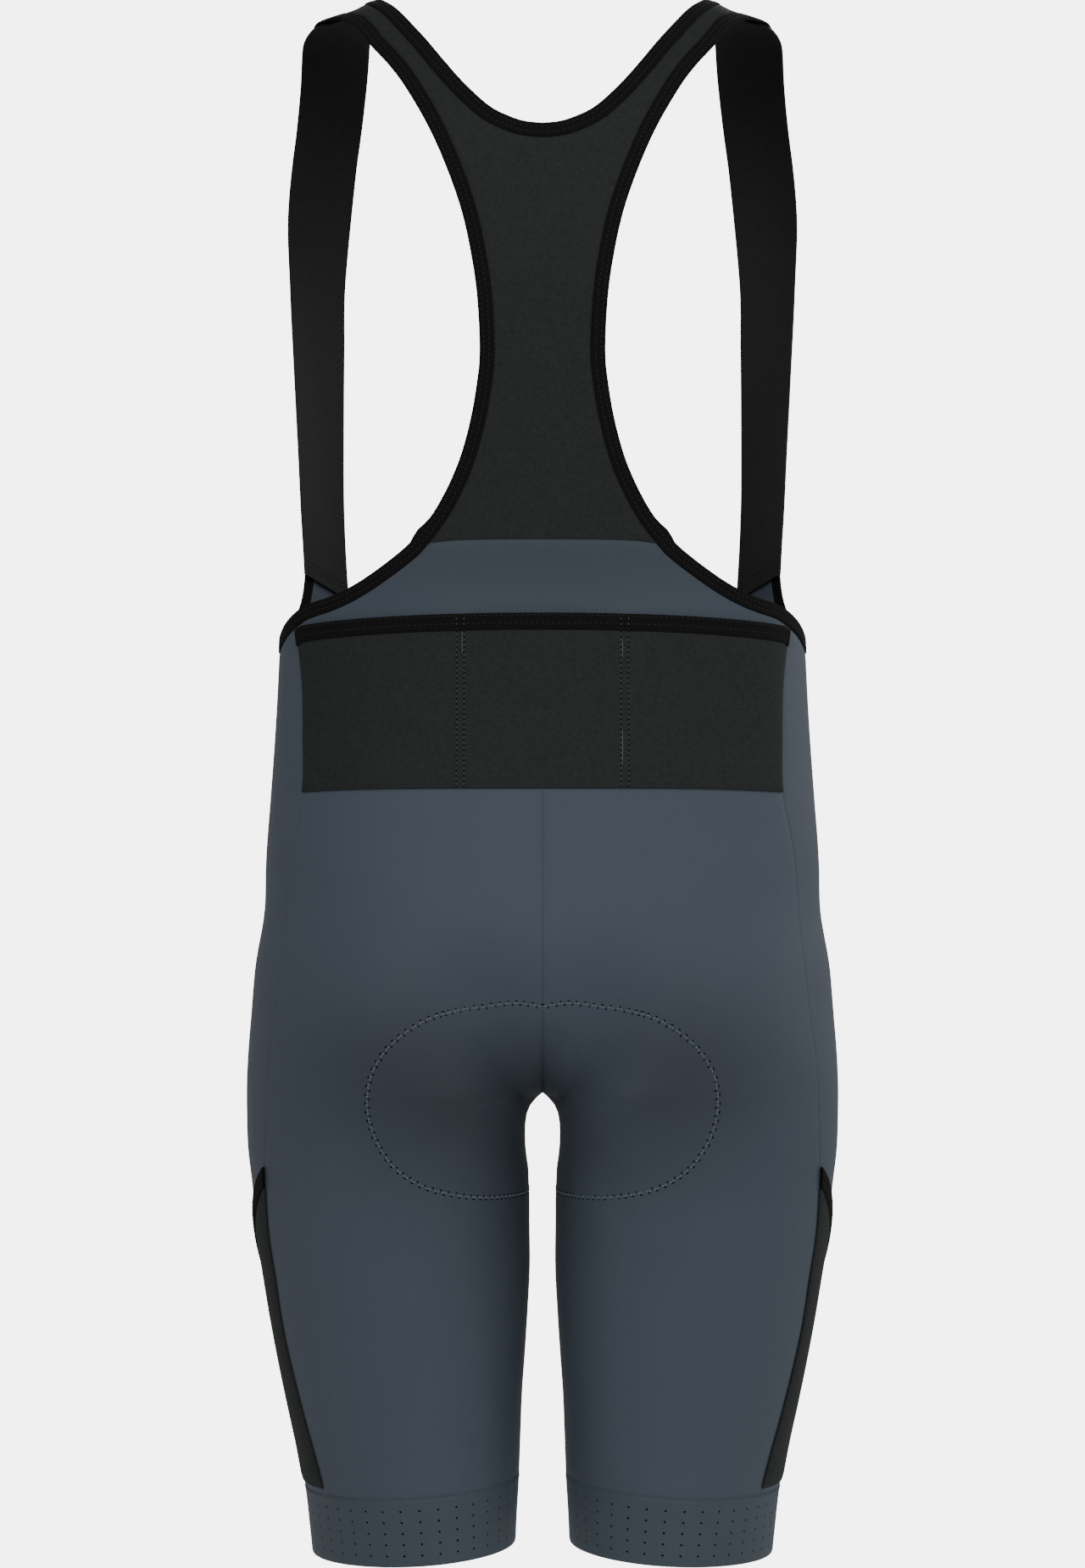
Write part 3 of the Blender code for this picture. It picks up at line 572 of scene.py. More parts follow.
class Finish:  # a material in the making
    def __init__(self, name, color, roughness, specular, sheen=0.0):
        self.material = bpy.data.materials.new(name)
        self.material.use_nodes = True
        self.tree = self.material.node_tree
        self.shader = self.tree.nodes["Principled BSDF"]
        self.set("Base Color", (*color, 1))
        self.set("Roughness", roughness)
        self.set("Sheen Weight", sheen)
        self.set("Sheen Roughness", 0.4)
        self.set("Specular IOR Level", specular)

    def set(self, socket, value):
        self.join(self.shader.inputs[socket], value)

    def join(self, socket, value):
        if isinstance(value, Shade):
            self.tree.links.new(value.socket, socket)
        else:
            socket.default_value = value

    def add(self, kind, settings=None, inputs=None, output=0):
        node = self.tree.nodes.new("ShaderNode" + kind)
        for key, value in (settings or {}).items():
            setattr(node, key, value)
        for key, value in (inputs or {}).items():
            self.join(node.inputs[key], value)
        return Shade(self, node.outputs[output])

    def maths(self, operation, *values):
        return self.add("Math", {"operation": operation}, dict(enumerate(values)))

    def sine(self, value):
        return self.maths("SINE", value)

    def faded(self, squared):  # 1 where the squared distance is 0, and softly less away from there
        return self.maths("EXPONENT", -1 * squared)

    def tint(self, shade, color):  # the base colour, from black at 0 to the full tone at 1
        ends = {0: shade, 6: (0.0, 0.0, 0.0, 1), 7: (*color, 1)}
        self.set("Base Color", self.add("Mix", {"data_type": "RGBA"}, ends, output=2))

    def cut(self):  # the place on the flat cut, across and along, in millimetres
        return self.parts(self.add("UVMap", {"uv_map": "cut"}))

    def parts(self, vector):
        node = self.tree.nodes.new("ShaderNodeSeparateXYZ")
        self.tree.links.new(vector.socket, node.inputs[0])
        return [Shade(self, socket) for socket in node.outputs]

    def place(self):  # in metres
        return self.add("TexCoord", output="Object")

    def noise(self, size, detail=2.0):  # size in millimetres
        inputs = {"Vector": self.place(), "Scale": 1 / (size * mm), "Detail": detail, "Roughness": 0.5}
        return self.add("TexNoise", {}, inputs)

    def bump(self, height, distance, strength):  # distance in millimetres
        return self.add("Bump", {}, {"Height": height, "Distance": distance * mm, "Strength": strength})


stretchLook = {
    "color": (0.063, 0.0792, 0.1023),
    "patchy": 0.10,  # how far the dye varies
    "patchSize": 38.0,
    "knit": 0.62,  # width of a wale
    "knitHeight": 0.05,
    "roughness": 0.58,
    "sheen": 0.03,
    "specular": 0.2,
    "crotchShade": 0.22,  # how much painted shade darkens the cloth between the legs
    "crotchPlace": (0.0, -40.0, -672.0),
    "crotchReach": 60.0,
    "crotchWide": 0.66,
    # Painted shade and painted light over the back, as soft darker places and lighter ones where how dark
    # is below 0: x, z, reach along both, how dark, and whether both sides have it
    "paintedShades": (
        (84, -632, 56, 50, 0.40, True),
        (42, -652, 26, 26, 0.13, True),
        (-50, -650, 24, 34, 0.16, False),
        (24, -640, 26, 30, -0.30, False),
        (-20, -770, 22, 80, 0.12, False),
        (-44, -730, 24, 90, 0.08, False),
        (26, -725, 18, 80, -0.22, False),
        (0, -332, 190, 30, 0.26, True),
    ),
    # Both centre seams lie in a narrow painted shadow: half width, how dark, and their top at the back
    "centreSeam": (0.75, 0.17, -468.0),
}


def stretchFinish(name, color):
    look = stretchLook
    finish = Finish(name, color, look["roughness"], look["specular"], look["sheen"])
    worn = finish.noise(look["patchSize"], 3.0)
    fleck = finish.noise(1.3, 1.0)
    cross, along, _ = finish.cut()
    wale = finish.sine(cross * (2 * math.pi / look["knit"]))
    course = finish.sine(along * (2 * math.pi / look["knit"]))
    shade = 1 - look["patchy"] / 2 + look["patchy"] * worn + 0.06 * (fleck - 0.5)
    x, y, z = finish.parts(finish.place())
    # Painted shade: the cloth is darker between the legs
    px, py, pz = (part * mm for part in look["crotchPlace"])
    away = ((look["crotchWide"] * (x - px)) ** 2.0 + (0.35 * (y - py)) ** 2.0 + (z - pz) ** 2.0) ** 0.5
    near = finish.faded((away / (look["crotchReach"] * mm)) ** 2.0)
    shade = shade * (1 - look["crotchShade"] * near)
    aside = finish.maths("ABSOLUTE", x)
    # Painted shade and painted light in soft places over the back
    for cx, cz, reachX, reachZ, share, both in look["paintedShades"]:
        across = ((aside if both else x) - cx * mm) / (reachX * mm)
        upward = (z - cz * mm) / (reachZ * mm)
        shade = shade * (1 - share * finish.faded(across**2.0 + upward**2.0) * (y < 0.0))
    # A narrow painted shadow along the centre seams
    reach, share, top = look["centreSeam"]
    shade = shade * (1 - share * finish.faded((aside / (reach * mm)) ** 2.0) * (z < top * mm))
    finish.tint(shade, color)
    finish.set("Roughness", look["roughness"] + 0.08 * (worn - 0.5))
    finish.set("Normal", finish.bump(wale * course + 0.6 * fleck, look["knitHeight"], 0.35))
    return finish.material


meshLook = {
    "color": (0.0227, 0.0253, 0.0243),
    "groove": 0.5,  # how dark the cloth is between two ribs
    "pitch": 1.25,
    "height": 0.16,
    "roughness": 0.72,
    "full": 1.25,  # the ribs are this much lighter than the mean colour
}


def meshFinish():
    look = meshLook
    finish = Finish("ribbedMesh", look["color"], look["roughness"], 0.15)
    cross, along, _ = finish.cut()
    turn = 2 * math.pi / look["pitch"]
    rib = 0.5 + 0.5 * finish.sine(along * turn)
    twillOne = finish.sine((cross + along * 0.62) * (turn * 0.82))
    twillTwo = finish.sine((cross - along * 0.62) * (turn * 0.82))
    weave = 0.4 * rib + 0.3 * (twillOne + 1) * (0.5 + 0.25 * (twillTwo + 1))
    worn = finish.noise(30.0, 3.0)
    slub = finish.noise(2.6, 2.0)
    shade = look["groove"] + (1 - look["groove"]) * weave + 0.12 * (worn - 0.5) + 0.5 * (slub - 0.5)
    finish.tint(shade, [look["full"] * part for part in look["color"]])
    finish.set("Roughness", look["roughness"] + 0.12 * (worn - 0.5))
    finish.set("Normal", finish.bump(weave, look["height"], 0.6))
    return finish.material


trimLook = {"color": (0.0056, 0.0056, 0.0056), "roughness": 0.85, "pitch": 0.7, "height": 0.10}


def trimFinish():
    look = trimLook
    finish = Finish("bindingKnit", look["color"], look["roughness"], 0.12)
    cross, along, _ = finish.cut()
    turn = 2 * math.pi / look["pitch"]
    knit = finish.sine(along * turn + 0.8 * finish.sine(cross * turn))
    fuzz = finish.noise(1.1, 2.0)
    finish.tint(0.7 + 0.5 * fuzz, look["color"])
    finish.set("Roughness", look["roughness"] + 0.1 * (fuzz - 0.5))
    finish.set("Normal", finish.bump(0.5 * knit + fuzz, look["height"], 0.6))
    return finish.material


elasticLook = {
    "color": (0.0298, 0.0294, 0.0286),
    "pitch": 0.95,  # between two cross ribs
    "cord": 1.9,  # between two lengthwise cords
    "height": 0.22,
    "roughness": 0.6,
    "shadeTop": -10.0,  # painted shade: towards the shoulder the strap's inner side is darker
    "shadeBottom": -230.0,
    "shadeLeast": 0.36,
}


def elasticFinish():
    look = elasticLook
    finish = Finish("wovenElastic", look["color"], look["roughness"], 0.12)
    cross, along, _ = finish.cut()
    rib = 0.5 + 0.5 * finish.sine(along * (2 * math.pi / look["pitch"]))
    cord = 0.5 + 0.5 * finish.sine(cross * (2 * math.pi / look["cord"]))
    fuzz = finish.noise(2.4, 2.0)
    weave = rib * (0.75 + 0.25 * cord)
    # Painted shade: the strap's inner side is darker towards the shoulder
    z = finish.parts(finish.place())[2]
    heights = {
        "Value": z,
        "From Min": look["shadeTop"] * mm,
        "From Max": look["shadeBottom"] * mm,
        "To Min": look["shadeLeast"],
        "To Max": 1.0,
    }
    lit = finish.add("MapRange", {"interpolation_type": "SMOOTHSTEP"}, heights)
    shade = lit * (0.55 + 0.6 * weave + 0.2 * (fuzz - 0.5))
    finish.tint(shade, look["color"])
    finish.set("Roughness", look["roughness"] + 0.1 * (fuzz - 0.5))
    finish.set("Normal", finish.bump(weave + 0.2 * fuzz, look["height"], 0.7))
    return finish.material


def threadFinish(name, color, shine=0.4):
    finish = Finish(name, color, 0.6, shine)
    ply = finish.noise(0.5, 1.0)
    finish.tint(0.75 + 0.5 * ply, color)
    finish.set("Normal", finish.bump(ply, 0.06, 0.5))
    return finish.material


finishes = {
    "cloth": stretchFinish("stretchCloth", stretchLook["color"]),
    "mesh": meshFinish(),
    "trim": trimFinish(),
    "elastic": elasticFinish(),
    "perforated": stretchFinish("perforatedCloth", (0.0588, 0.0754, 0.0945)),
    "trimThread": threadFinish("trimThread", (0.031, 0.031, 0.030), 0.1),
    "pocketThread": threadFinish("pocketThread", (0.062, 0.067, 0.065), 0.2),
    "strapThread": threadFinish("strapThread", (0.012, 0.012, 0.012), 0.1),
    "seatThread": threadFinish("seatThread", (0.185, 0.225, 0.265)),
    "hemThread": threadFinish("hemThread", (0.10, 0.128, 0.155)),
    # near-black dots: painted shade in the needle holes
    "needleHoleShade": threadFinish("needleHoleShade", (0.0030, 0.0034, 0.0038), 0.0),
    # a near-black sheet behind the gripper's holes: painted shade
    "holeShadeSheet": threadFinish("holeShadeSheet", (0.0016, 0.0017, 0.0018), 0.0),
}
print("finishes made")


# Sewing: short threads that dive into the cloth at both ends.
# Shares of a stitch's length for its two rings, and of its height for its sides, underside and tips
grain = {"rings": (0.2, 0.8), "side": 0.35, "under": 0.3, "tip": 0.5}
# A dark dot, painted shade for a needle hole: its middle's rise, its rim's share of that, and its lift off
# the cloth
dot = {"rise": 0.04, "rim": 0.4, "lift": 0.03}


def copies(parts, pattern):  # one small form for each row of points, with the pattern as its faces
    points = np.stack(parts, axis=1)
    shift = (np.arange(len(points)) * len(parts))[:, None, None]
    return points.reshape(-1, 3), (pattern[None] + shift).reshape(-1, 4)


def threadArrays(starts, ends, normals, width, height):
    # Each stitch is a four-sided grain: a tip, two rings and a tip.
    starts, ends, normals = (np.asarray(part, float) for part in (starts, ends, normals))
    along = ends - starts
    aside = unit(np.cross(along, normals)) * width / 2
    up = normals * height
    parts = [starts - grain["tip"] * up]
    for share in grain["rings"]:
        middle, side = starts + share * along, grain["side"] * up
        parts += [middle - aside + side, middle + up, middle + aside + side, middle - grain["under"] * up]
    parts.append(ends - grain["tip"] * up)
    ring = np.arange(4)
    after = (ring + 1) % 4
    faces = [np.stack([np.zeros(4, int), ring + 1, after + 1, after + 1], axis=1)]
    faces.append(np.stack([ring + 1, ring + 5, after + 5, after + 1], axis=1))
    faces.append(np.stack([np.full(4, 9), after + 5, ring + 5, ring + 5], axis=1))
    return copies(parts, np.vstack(faces))


def dotArrays(centres, normals, alongs, halfLong, halfWide):  # six-sided dots
    aside = unit(np.cross(normals, alongs))
    ahead = np.cross(aside, normals)
    ring = [centres + normals * dot["rise"]]
    for turn in np.arange(6) * math.pi / 3:
        flat = halfLong * math.cos(turn) * ahead + halfWide * math.sin(turn) * aside
        ring.append(centres + flat + normals * dot["rise"] * dot["rim"])
    around = np.arange(6)
    after = (around + 1) % 6 + 1
    return copies(ring, np.stack([np.zeros(6, int), around + 1, after, after], axis=1))


def sewn(name, arrays, finish, slot):
    points, faces, count = [], [], 0
    for somePoints, someFaces in arrays:
        points.append(somePoints)
        faces.append(someFaces + count)
        count += len(somePoints)
    faces = [tuple(dict.fromkeys(face)) for face in np.vstack(faces).tolist()]
    settle(meshFrom(name, np.vstack(points), faces, finish), slot)


def alongPath(points, normals, wanted):
    lengths = travelled(points)
    pick = lambda grid: np.column_stack([np.interp(wanted, lengths, grid[:, axis]) for axis in range(3)])
    return pick(points), unit(pick(normals))


def straightStitches(points, normals, stitch, names):
    length = travelled(points)[-1]
    starts = np.arange(0.5 * stitch["pitch"], length - stitch["length"], stitch["pitch"])
    begin, normal = alongPath(points, normals, starts)
    end, _ = alongPath(points, normals, starts + stitch["length"])
    begin, end = (onto(names, spots, normal, stitch["lift"]) for spots in (begin, end))
    return threadArrays(begin, end, normal, stitch["width"], stitch["height"])


# Dark dots as painted shade in the needle holes between the stitches
def needleHoles(points, normals, stitch, names):
    firstGap = 0.5 * stitch["pitch"] + (stitch["pitch"] + stitch["length"]) / 2
    gaps = np.arange(firstGap, travelled(points)[-1], stitch["pitch"])
    centres, normal = alongPath(points, normals, gaps)
    after, _ = alongPath(points, normals, gaps + 0.3)
    before, _ = alongPath(points, normals, gaps - 0.3)
    return dotArrays(onto(names, centres, normal, dot["lift"]), normal, after - before, *stitch["hole"])


# The garment's own lines and sizes
sizes = {
    "edgeStep": 4.6,
    "frontStep": 6.5,
    "trimWidth": 8.7,
    "meshSeam": -321.6,
    "meshSeamDip": 2.0,
    "armStart": -122.0,
    "seamEase": 20.0,
    "seamEndPower": 5,
    "pocketTop": -364.5,
    "pocketTopDrop": 6.4,
    "pocketTopPower": 3,
    "pocketBottom": -466.8,
    "pocketCornerDip": 2.4,
    "pocketCornerPower": 5,
    "pocketClearance": 2.0,
    "pocketTrimWidth": 10.0,
    "gripperSeam": -886.0,
    "sidePocketBottom": -883.0,
    "mouthBack": -691.0,
    "mouthFall": 120.0,
    "mouthCurve": 1.08,
    "mouthSlant": 48.0,
    "panelThick": 1.2,
}
neckEdge = (  # x, v over the shoulder, from the centre back up
    (0.0, -83.2), (8.6, -82.5), (16.9, -80.3), (30.2, -74.0), (44.1, -61.9), (55.5, -49.2),
    (66.2, -35.3), (78.1, -18.5), (89.4, 1.1), (95.0, 12.5), (99.4, 29.0), (101.0, 46.0),
)
armholeBack = (  # x, v from the shoulder down to the waist
    (140.0, 46.0), (137.0, 33.0), (130.6, 22.0), (122.4, 10.5), (117.3, 1.0), (111.1, -9.1),
    (101.8, -27.2), (90.4, -43.1), (80.7, -57.6), (66.1, -83.6), (55.2, -108.5), (46.8, -133.3),
    (41.4, -157.9), (38.0, -182.1), (36.6, -212.0), (38.2, -230.5), (42.7, -254.8), (50.2, -279.1),
    (62.6, -303.5), (77.6, -323.0),
)
armholeSide = (  # u, z from there round the side and up to the strap's outer edge
    (0.753, -323.0), (0.717, -334.2), (0.676, -345.8), (0.640, -353.2), (0.598, -358.3),
    (0.561, -366.0), (0.530, -373.6), (0.503, -377.0), (0.470, -374.5), (0.438, -366.0),
    (0.414, -353.0), (0.404, -337.0), (0.401, -321.0),
)
frontNeckEdge = (  # u, z from there past the strap down to the centre front
    (0.401, -321.0), (0.370, -328.5), (0.339, -337.0), (0.310, -350.0), (0.260, -374.0),
    (0.190, -398.0), (0.100, -413.5), (0.050, -417.8), (0.0, -419.0),
)


def heightAlong(line):
    ordered = line[np.argsort(line[:, 0])]
    return lambda u: np.interp(u, ordered[:, 0], ordered[:, 1])


def makeLines():
    lines = {
        "armholeBack": edgeLine(over, armholeBack, sizes["edgeStep"]),
        "armholeSide": edgeLine(body, armholeSide, sizes["edgeStep"]),
        "frontNeck": edgeLine(body, frontNeckEdge, sizes["frontStep"]),
    }
    for name, surface in (("armholeBack", over), ("armholeSide", body), ("frontNeck", body)):
        lines[name + "In"] = beside(surface, lines[name], sizes["trimWidth"])
    lines["frontNeckIn"][-1, 0] = 0.0
    neckIn = heightAlong(lines["frontNeckIn"])

    # The armhole trim ends under the front neck trim, and the front panel has its corner there.
    def aboveNeckTrim(line):
        return np.where(line[:, 0] < 0.5, line[:, 1] - neckIn(line[:, 0]), -1.0)

    lines["armholeSide"] = split(lines["armholeSide"], aboveNeckTrim)[0]
    lines["armholeSideIn"] = split(lines["armholeSideIn"], aboveNeckTrim)[0]
    corner = lines["armholeSideIn"][-1]
    lines["frontNeckIn"][0] = lines["armholeSide"][-1]
    lines["frontTop"] = split(lines["frontNeckIn"], lambda line: line[:, 0] - corner[0])[1]

    # Along the armhole trim: racerback, yoke, side panel and front panel
    seamHeight = sizes["meshSeam"] - sizes["meshSeamDip"]
    lines["racerbackOut"], low = split(lines["armholeBackIn"], lambda line: line[:, 1] - seamHeight)
    low = np.column_stack([uAtBack(low[:, 0], low[:, 1]), low[:, 1]])
    roundBody = np.vstack([low, lines["armholeSideIn"][1:]])
    lines["yokeTop"], rest = split(roundBody, lambda line: line[:, 0] - sideSeams(line[:, 1])[0])
    parts = split(rest, lambda line: line[:, 0] - sideSeams(line[:, 1])[1])
    lines["sideTop"], lines["frontSideTop"] = parts
    return lines


lines = makeLines()
print("edges and seams laid out")


# Bindings: folded tape with two rows of stitches
binding = {
    "columns": (0.0, 0.05, 0.13, 0.24, 0.30, 0.36, 0.48, 0.60, 0.66, 0.72, 0.84, 0.94, 1.0),
    "rows": (0.30, 0.66),  # where the two needle rows run, from the free edge
    "top": 0.6,
    "under": -1.2,
    "meshTop": 2.1,  # the same two where the tape lies on a pocket's mouth
    "meshUnder": 0.3,
    "round": 0.5,  # how far the faces close in at the two edges
    "groove": 0.05,
    "grooveReach": 0.035,
    "bulge": 1.5,
    "bulgePast": 1.0,
    "bulgeReach": 6.0,
    "stitch": {"pitch": 3.1, "length": 2.1, "width": 0.46, "height": 0.2, "lift": -0.03},
}


bindingShares = np.array(binding["columns"])


def bindingFaces(onPocket=False):  # how far the tape's outer and inner faces stand from the body's form
    full = 1 - np.abs(2 * bindingShares - 1) ** 12
    dips = sum(np.exp(-(((bindingShares - row) / binding["grooveReach"]) ** 2)) for row in binding["rows"])
    top = binding["top"] - binding["round"] * (1 - full) - binding["groove"] * dips
    under = binding["under"] + binding["round"] * 0.5 * (1 - full)
    if onPocket:
        top = binding["meshTop"] + (top - binding["top"])
        under = binding["meshUnder"] + (under - binding["under"])
    return top[None], under[None]


def bindingGrid(surface, edge, inside):
    shares = bindingShares[None, :, None]
    places = edge[:, None] * (1 - shares) + inside[:, None] * shares
    points = surface.point(places)
    return Cloth(points, normalAt(surface, places), np.zeros((*points.shape[:2], 2)))


def alongFlat(cloth, width):  # the flat cut of a tape or strap: across, and the distance along its middle
    middle = travelled(cloth.points[:, cloth.points.shape[1] // 2])
    shares = np.linspace(-0.5, 0.5, cloth.points.shape[1])
    flat = np.stack(np.broadcast_arrays(width * shares[None], middle[:, None]), axis=-1)
    return cloth._replace(flat=flat)


def makeBinding(node, cloth, ending="_tape_stitches", faces=None, width=None, rows=binding["rows"]):
    name = node + "_tape"
    cloth = alongFlat(cloth, width or sizes["trimWidth"])
    settle(wall(name, cloth, *(faces or bindingFaces()), finishes["trim"]), "binding", node)
    threads = []
    for row in rows:
        column = int(np.argmin(np.abs(bindingShares - row)))
        path = cloth.points[:, column], cloth.normals[:, column]
        threads.append(straightStitches(*path, binding["stitch"], [name]))
    sewn(node + ending, threads, finishes["trimThread"], "binding")


def mouthTape(places):  # the grid of a tape between two rows of places, with its columns along the mouth
    shares = bindingShares[:, None, None]
    return patch(body, places[0] * (1 - shares) + places[1] * shares)


def turnedTape(cloth):
    return eachPart(lambda part: part.swapaxes(0, 1), cloth)


def makeTrims():
    back = bindingGrid(over, lines["armholeBack"], lines["armholeBackIn"])
    edge, inside = lines["armholeSide"], lines["armholeSideIn"]
    count = min(len(edge), len(inside)) - 1
    edge, inside = (np.vstack([line[1:count], line[-1]]) for line in (edge, inside))
    cloth = joined(back, bindingGrid(body, edge, inside))
    # The seam of the yoke is caught inside the tape and pushes it out a little.
    lengths = travelled(cloth.points[:, -1])
    corner = lengths[int(np.argmin(np.abs(cloth.points[:, -1, 2] - sizes["meshSeam"])))]
    away = (lengths - corner - binding["bulgePast"]) / binding["bulgeReach"]
    outward = unit(cloth.points[:, 0] - cloth.points[:, -1])
    push = binding["bulge"] * np.exp(-(away**2))[:, None] * outward
    cloth.points[:, :3] += push[:, None]
    for word, half, _ in twoSides(cloth):
        makeBinding("armhole_binding_" + word, half)
    front = bindingGrid(body, lines["frontNeck"], lines["frontNeckIn"])
    whole = eachPart(lambda a, b: np.concatenate([a, b[-2::-1]]), front, mirrored(front))
    makeBinding("front_neck_binding", whole)


makeTrims()
print("armhole and front bindings made")


# Soft troughs and ridges in the cloth.
# x, z, half length, half width, turn in degrees and depth of each hollow
backCreases = (
    (30, -684, 40, 9.0, 142, 0.35),
    (62, -704, 58, 11.0, 168, 0.5),
    (118, -716, 40, 13.0, 192, 0.4),
    (150, -521, 30, 12.0, 14, 0.7),
    (96, -497, 46, 14.0, 8, 0.35),
    (36, -519, 26, 11.0, -12, 0.3),
    (60, -842, 36, 8.0, 12, 0.3),
    (106, -866, 30, 7.0, -9, 0.3),
)
frontCreases = (
    (26, -655, 44, 6.0, 128, 1.1),
    (52, -640, 60, 8.0, 142, 0.9),
    (96, -590, 46, 10.0, 152, 0.6),
    (128, -520, 34, 12.0, 12, 0.5),
    (44, -478, 30, 12.0, -8, 0.3),
    (78, -846, 40, 8.0, 10, 0.3),
)
creaseBend = 0.004  # how much their middle lines curve
creaseFade = 25  # they fade out over this depth towards the side of the body
allSeams = ("firstRow", "lastRow", "firstColumn", "lastColumn")


def creased(cloth):
    x, y, z = np.moveaxis(cloth.points, -1, 0)
    dip = np.zeros(x.shape)
    for creases, facing in ((backCreases, y < 0), (frontCreases, y >= 0)):
        for cx, cz, length, width, turn, depth in creases:
            for side in (-1, 1):
                a = math.radians(turn)
                dx, dz = side * x - cx, z - cz
                along = dx * math.cos(a) + dz * math.sin(a)
                across = -dx * math.sin(a) + dz * math.cos(a) + creaseBend * along**2
                fade = eased(np.abs(y) / creaseFade)
                dip += facing * fade * depth * np.exp(-((along / length) ** 2) - (across / width) ** 2)
    return -dip


def makePanel(node, cloth, side=0, swell=0.0):
    face = creased(cloth) + swell
    dip = rolled(cloth, allSeams)
    under = face - sizes["panelThick"] - dip / 2
    piece = wall(node + "_cloth", cloth, face + dip, under, finishes["cloth"], side=side)
    settle(piece, "stretch_cloth", node)


# Racerback with its neck binding
racerback = {"columns": 16, "thick": 1.2}


def makeUpperBack():
    outer = lines["racerbackOut"][::-1]
    armStart = int(np.argmin(np.abs(outer[:, 1] - sizes["armStart"])))
    neck = spaced(over, curveThrough(neckEdge), len(outer) - armStart)
    neckIn = beside(over, neck, sizes["trimWidth"])
    neckIn[0, 0] = 0.0
    middle = np.linspace(sizes["meshSeam"], neckIn[0, 1], armStart + 1)[:-1]
    inner = np.vstack([np.column_stack([np.zeros(armStart), middle]), neckIn])
    share = np.linspace(0, 1, racerback["columns"] + 1)[None, :, None]
    places = outer[:, None] * (1 - share) + inner[:, None] * share
    # The seam with the yoke is level but for its ends, and the rows above it ease into straight ones.
    climbed = outer[:, 1] - outer[0, 1]
    ease = np.clip(1 - climbed / (sizes["seamEase"] * 2), 0, 1)[:, None]
    level = 1 - share[0, :, 0]
    places[:, :, 1] += sizes["meshSeamDip"] * ease * (level - level ** sizes["seamEndPower"])
    seam = places[0]
    places = spread(spread(places, "firstRow", 2), "firstColumn", 2)
    armStart += 2
    cloth = Cloth(over.point(places), normalAt(over, places), places.copy())
    arm = eachPart(lambda part: part[armStart:], cloth)
    cloth.points[armStart, -1, 0] = 0.0
    dip = rolled(cloth, ("firstRow", "firstColumn"), 0.4)
    inside = rolled(arm, ("lastColumn",), 0.4)
    dip[armStart:] = np.minimum(dip[armStart:], inside)
    # The two halves are one cloth: their middle columns coincide below the neck.
    faces = gridFaces(*dip.shape)
    both = joined(cloth, mirrored(cloth))
    faces = np.vstack([faces, (faces + dip.size)[:, ::-1]])
    dips = np.concatenate([dip, dip])
    piece = wall("upper_back_mesh", both, dips, dips - racerback["thick"], finishes["mesh"], faces)
    settle(piece, "ribbed_mesh", "upper_back")

    trim = bindingGrid(over, neck, neckIn)
    whole = eachPart(lambda a, b: np.concatenate([a[::-1], b[1:]]), trim, mirrored(trim))
    whole.points[len(neck) - 1, :, 0] = 0.0
    makeBinding("neck_binding", whole)
    return seam


meshSeamPlaces = makeUpperBack()
print("racerback made")


# Yoke and back pocket
pocket = {
    "yokeColumns": 16,
    "yokeRows": 12,
    "rows": 22,
    "thick": 1.0,
    "out": 1.3,
    "trimRows": (0.18, 0.56),  # where the needle rows run, from the free edge
    "half": 143.0,
    "dividers": (-47.9, 47.9),
    "dividerHalf": 2.2,  # from a divider's middle to each of its two stitch rows
    "belly": 2.4,  # how far the pocket stands out between its seams at the top
    "waves": (0.28, 11.5, 2.1, 23),  # height, length across, swing and length down
    "sag": (0.35, 6.5, 31, 0.35, 0.3),  # height, lengths down and across, place and reach down
    "stitch": {
        "pitch": 3.04,
        "length": 1.7,
        "width": 0.6,
        "height": 0.18,
        "lift": -0.03,
        "hole": (0.52, 0.56),
    },
    "finer": 4,  # columns of the mesh for each of the yoke's
    # divider's side, distance from its middle, top and bottom of a slit that shows the yoke
    "slits": ((-1, 1.2, -373.0, -388.5), (1, -1.3, -379.0, -391.0), (1, -1.4, -432.0, -454.0)),
    "slitWidth": 0.75,
}


def bellyOf(cloth, top, bottom):
    # Full at the pocket's mouth, nothing at its seams and dividers, with a few soft waves low down.
    x, _, z = np.moveaxis(cloth.points, -1, 0)
    edges = np.array([-pocket["half"], *pocket["dividers"], pocket["half"]])
    part = np.clip(np.searchsorted(edges, x) - 1, 0, 2)
    share = np.clip((x - edges[part]) / (edges[part + 1] - edges[part]), 0, 1)
    high = np.clip((z - bottom) / (top - bottom), 0, 1)
    bow = np.sin(np.pi * share)
    swell = pocket["belly"] * bow**0.8 * high**1.4
    height, wide, swing, tall = pocket["waves"]
    waves = height * np.sin(x / wide + swing * np.sin(z / tall)) * np.sin(np.pi * high) * bow
    height, tall, wide, place, reach = pocket["sag"]
    sag = height * np.sin(z / tall + x / wide) * np.exp(-((high - place) / reach) ** 2) * bow
    return swell + waves + sag


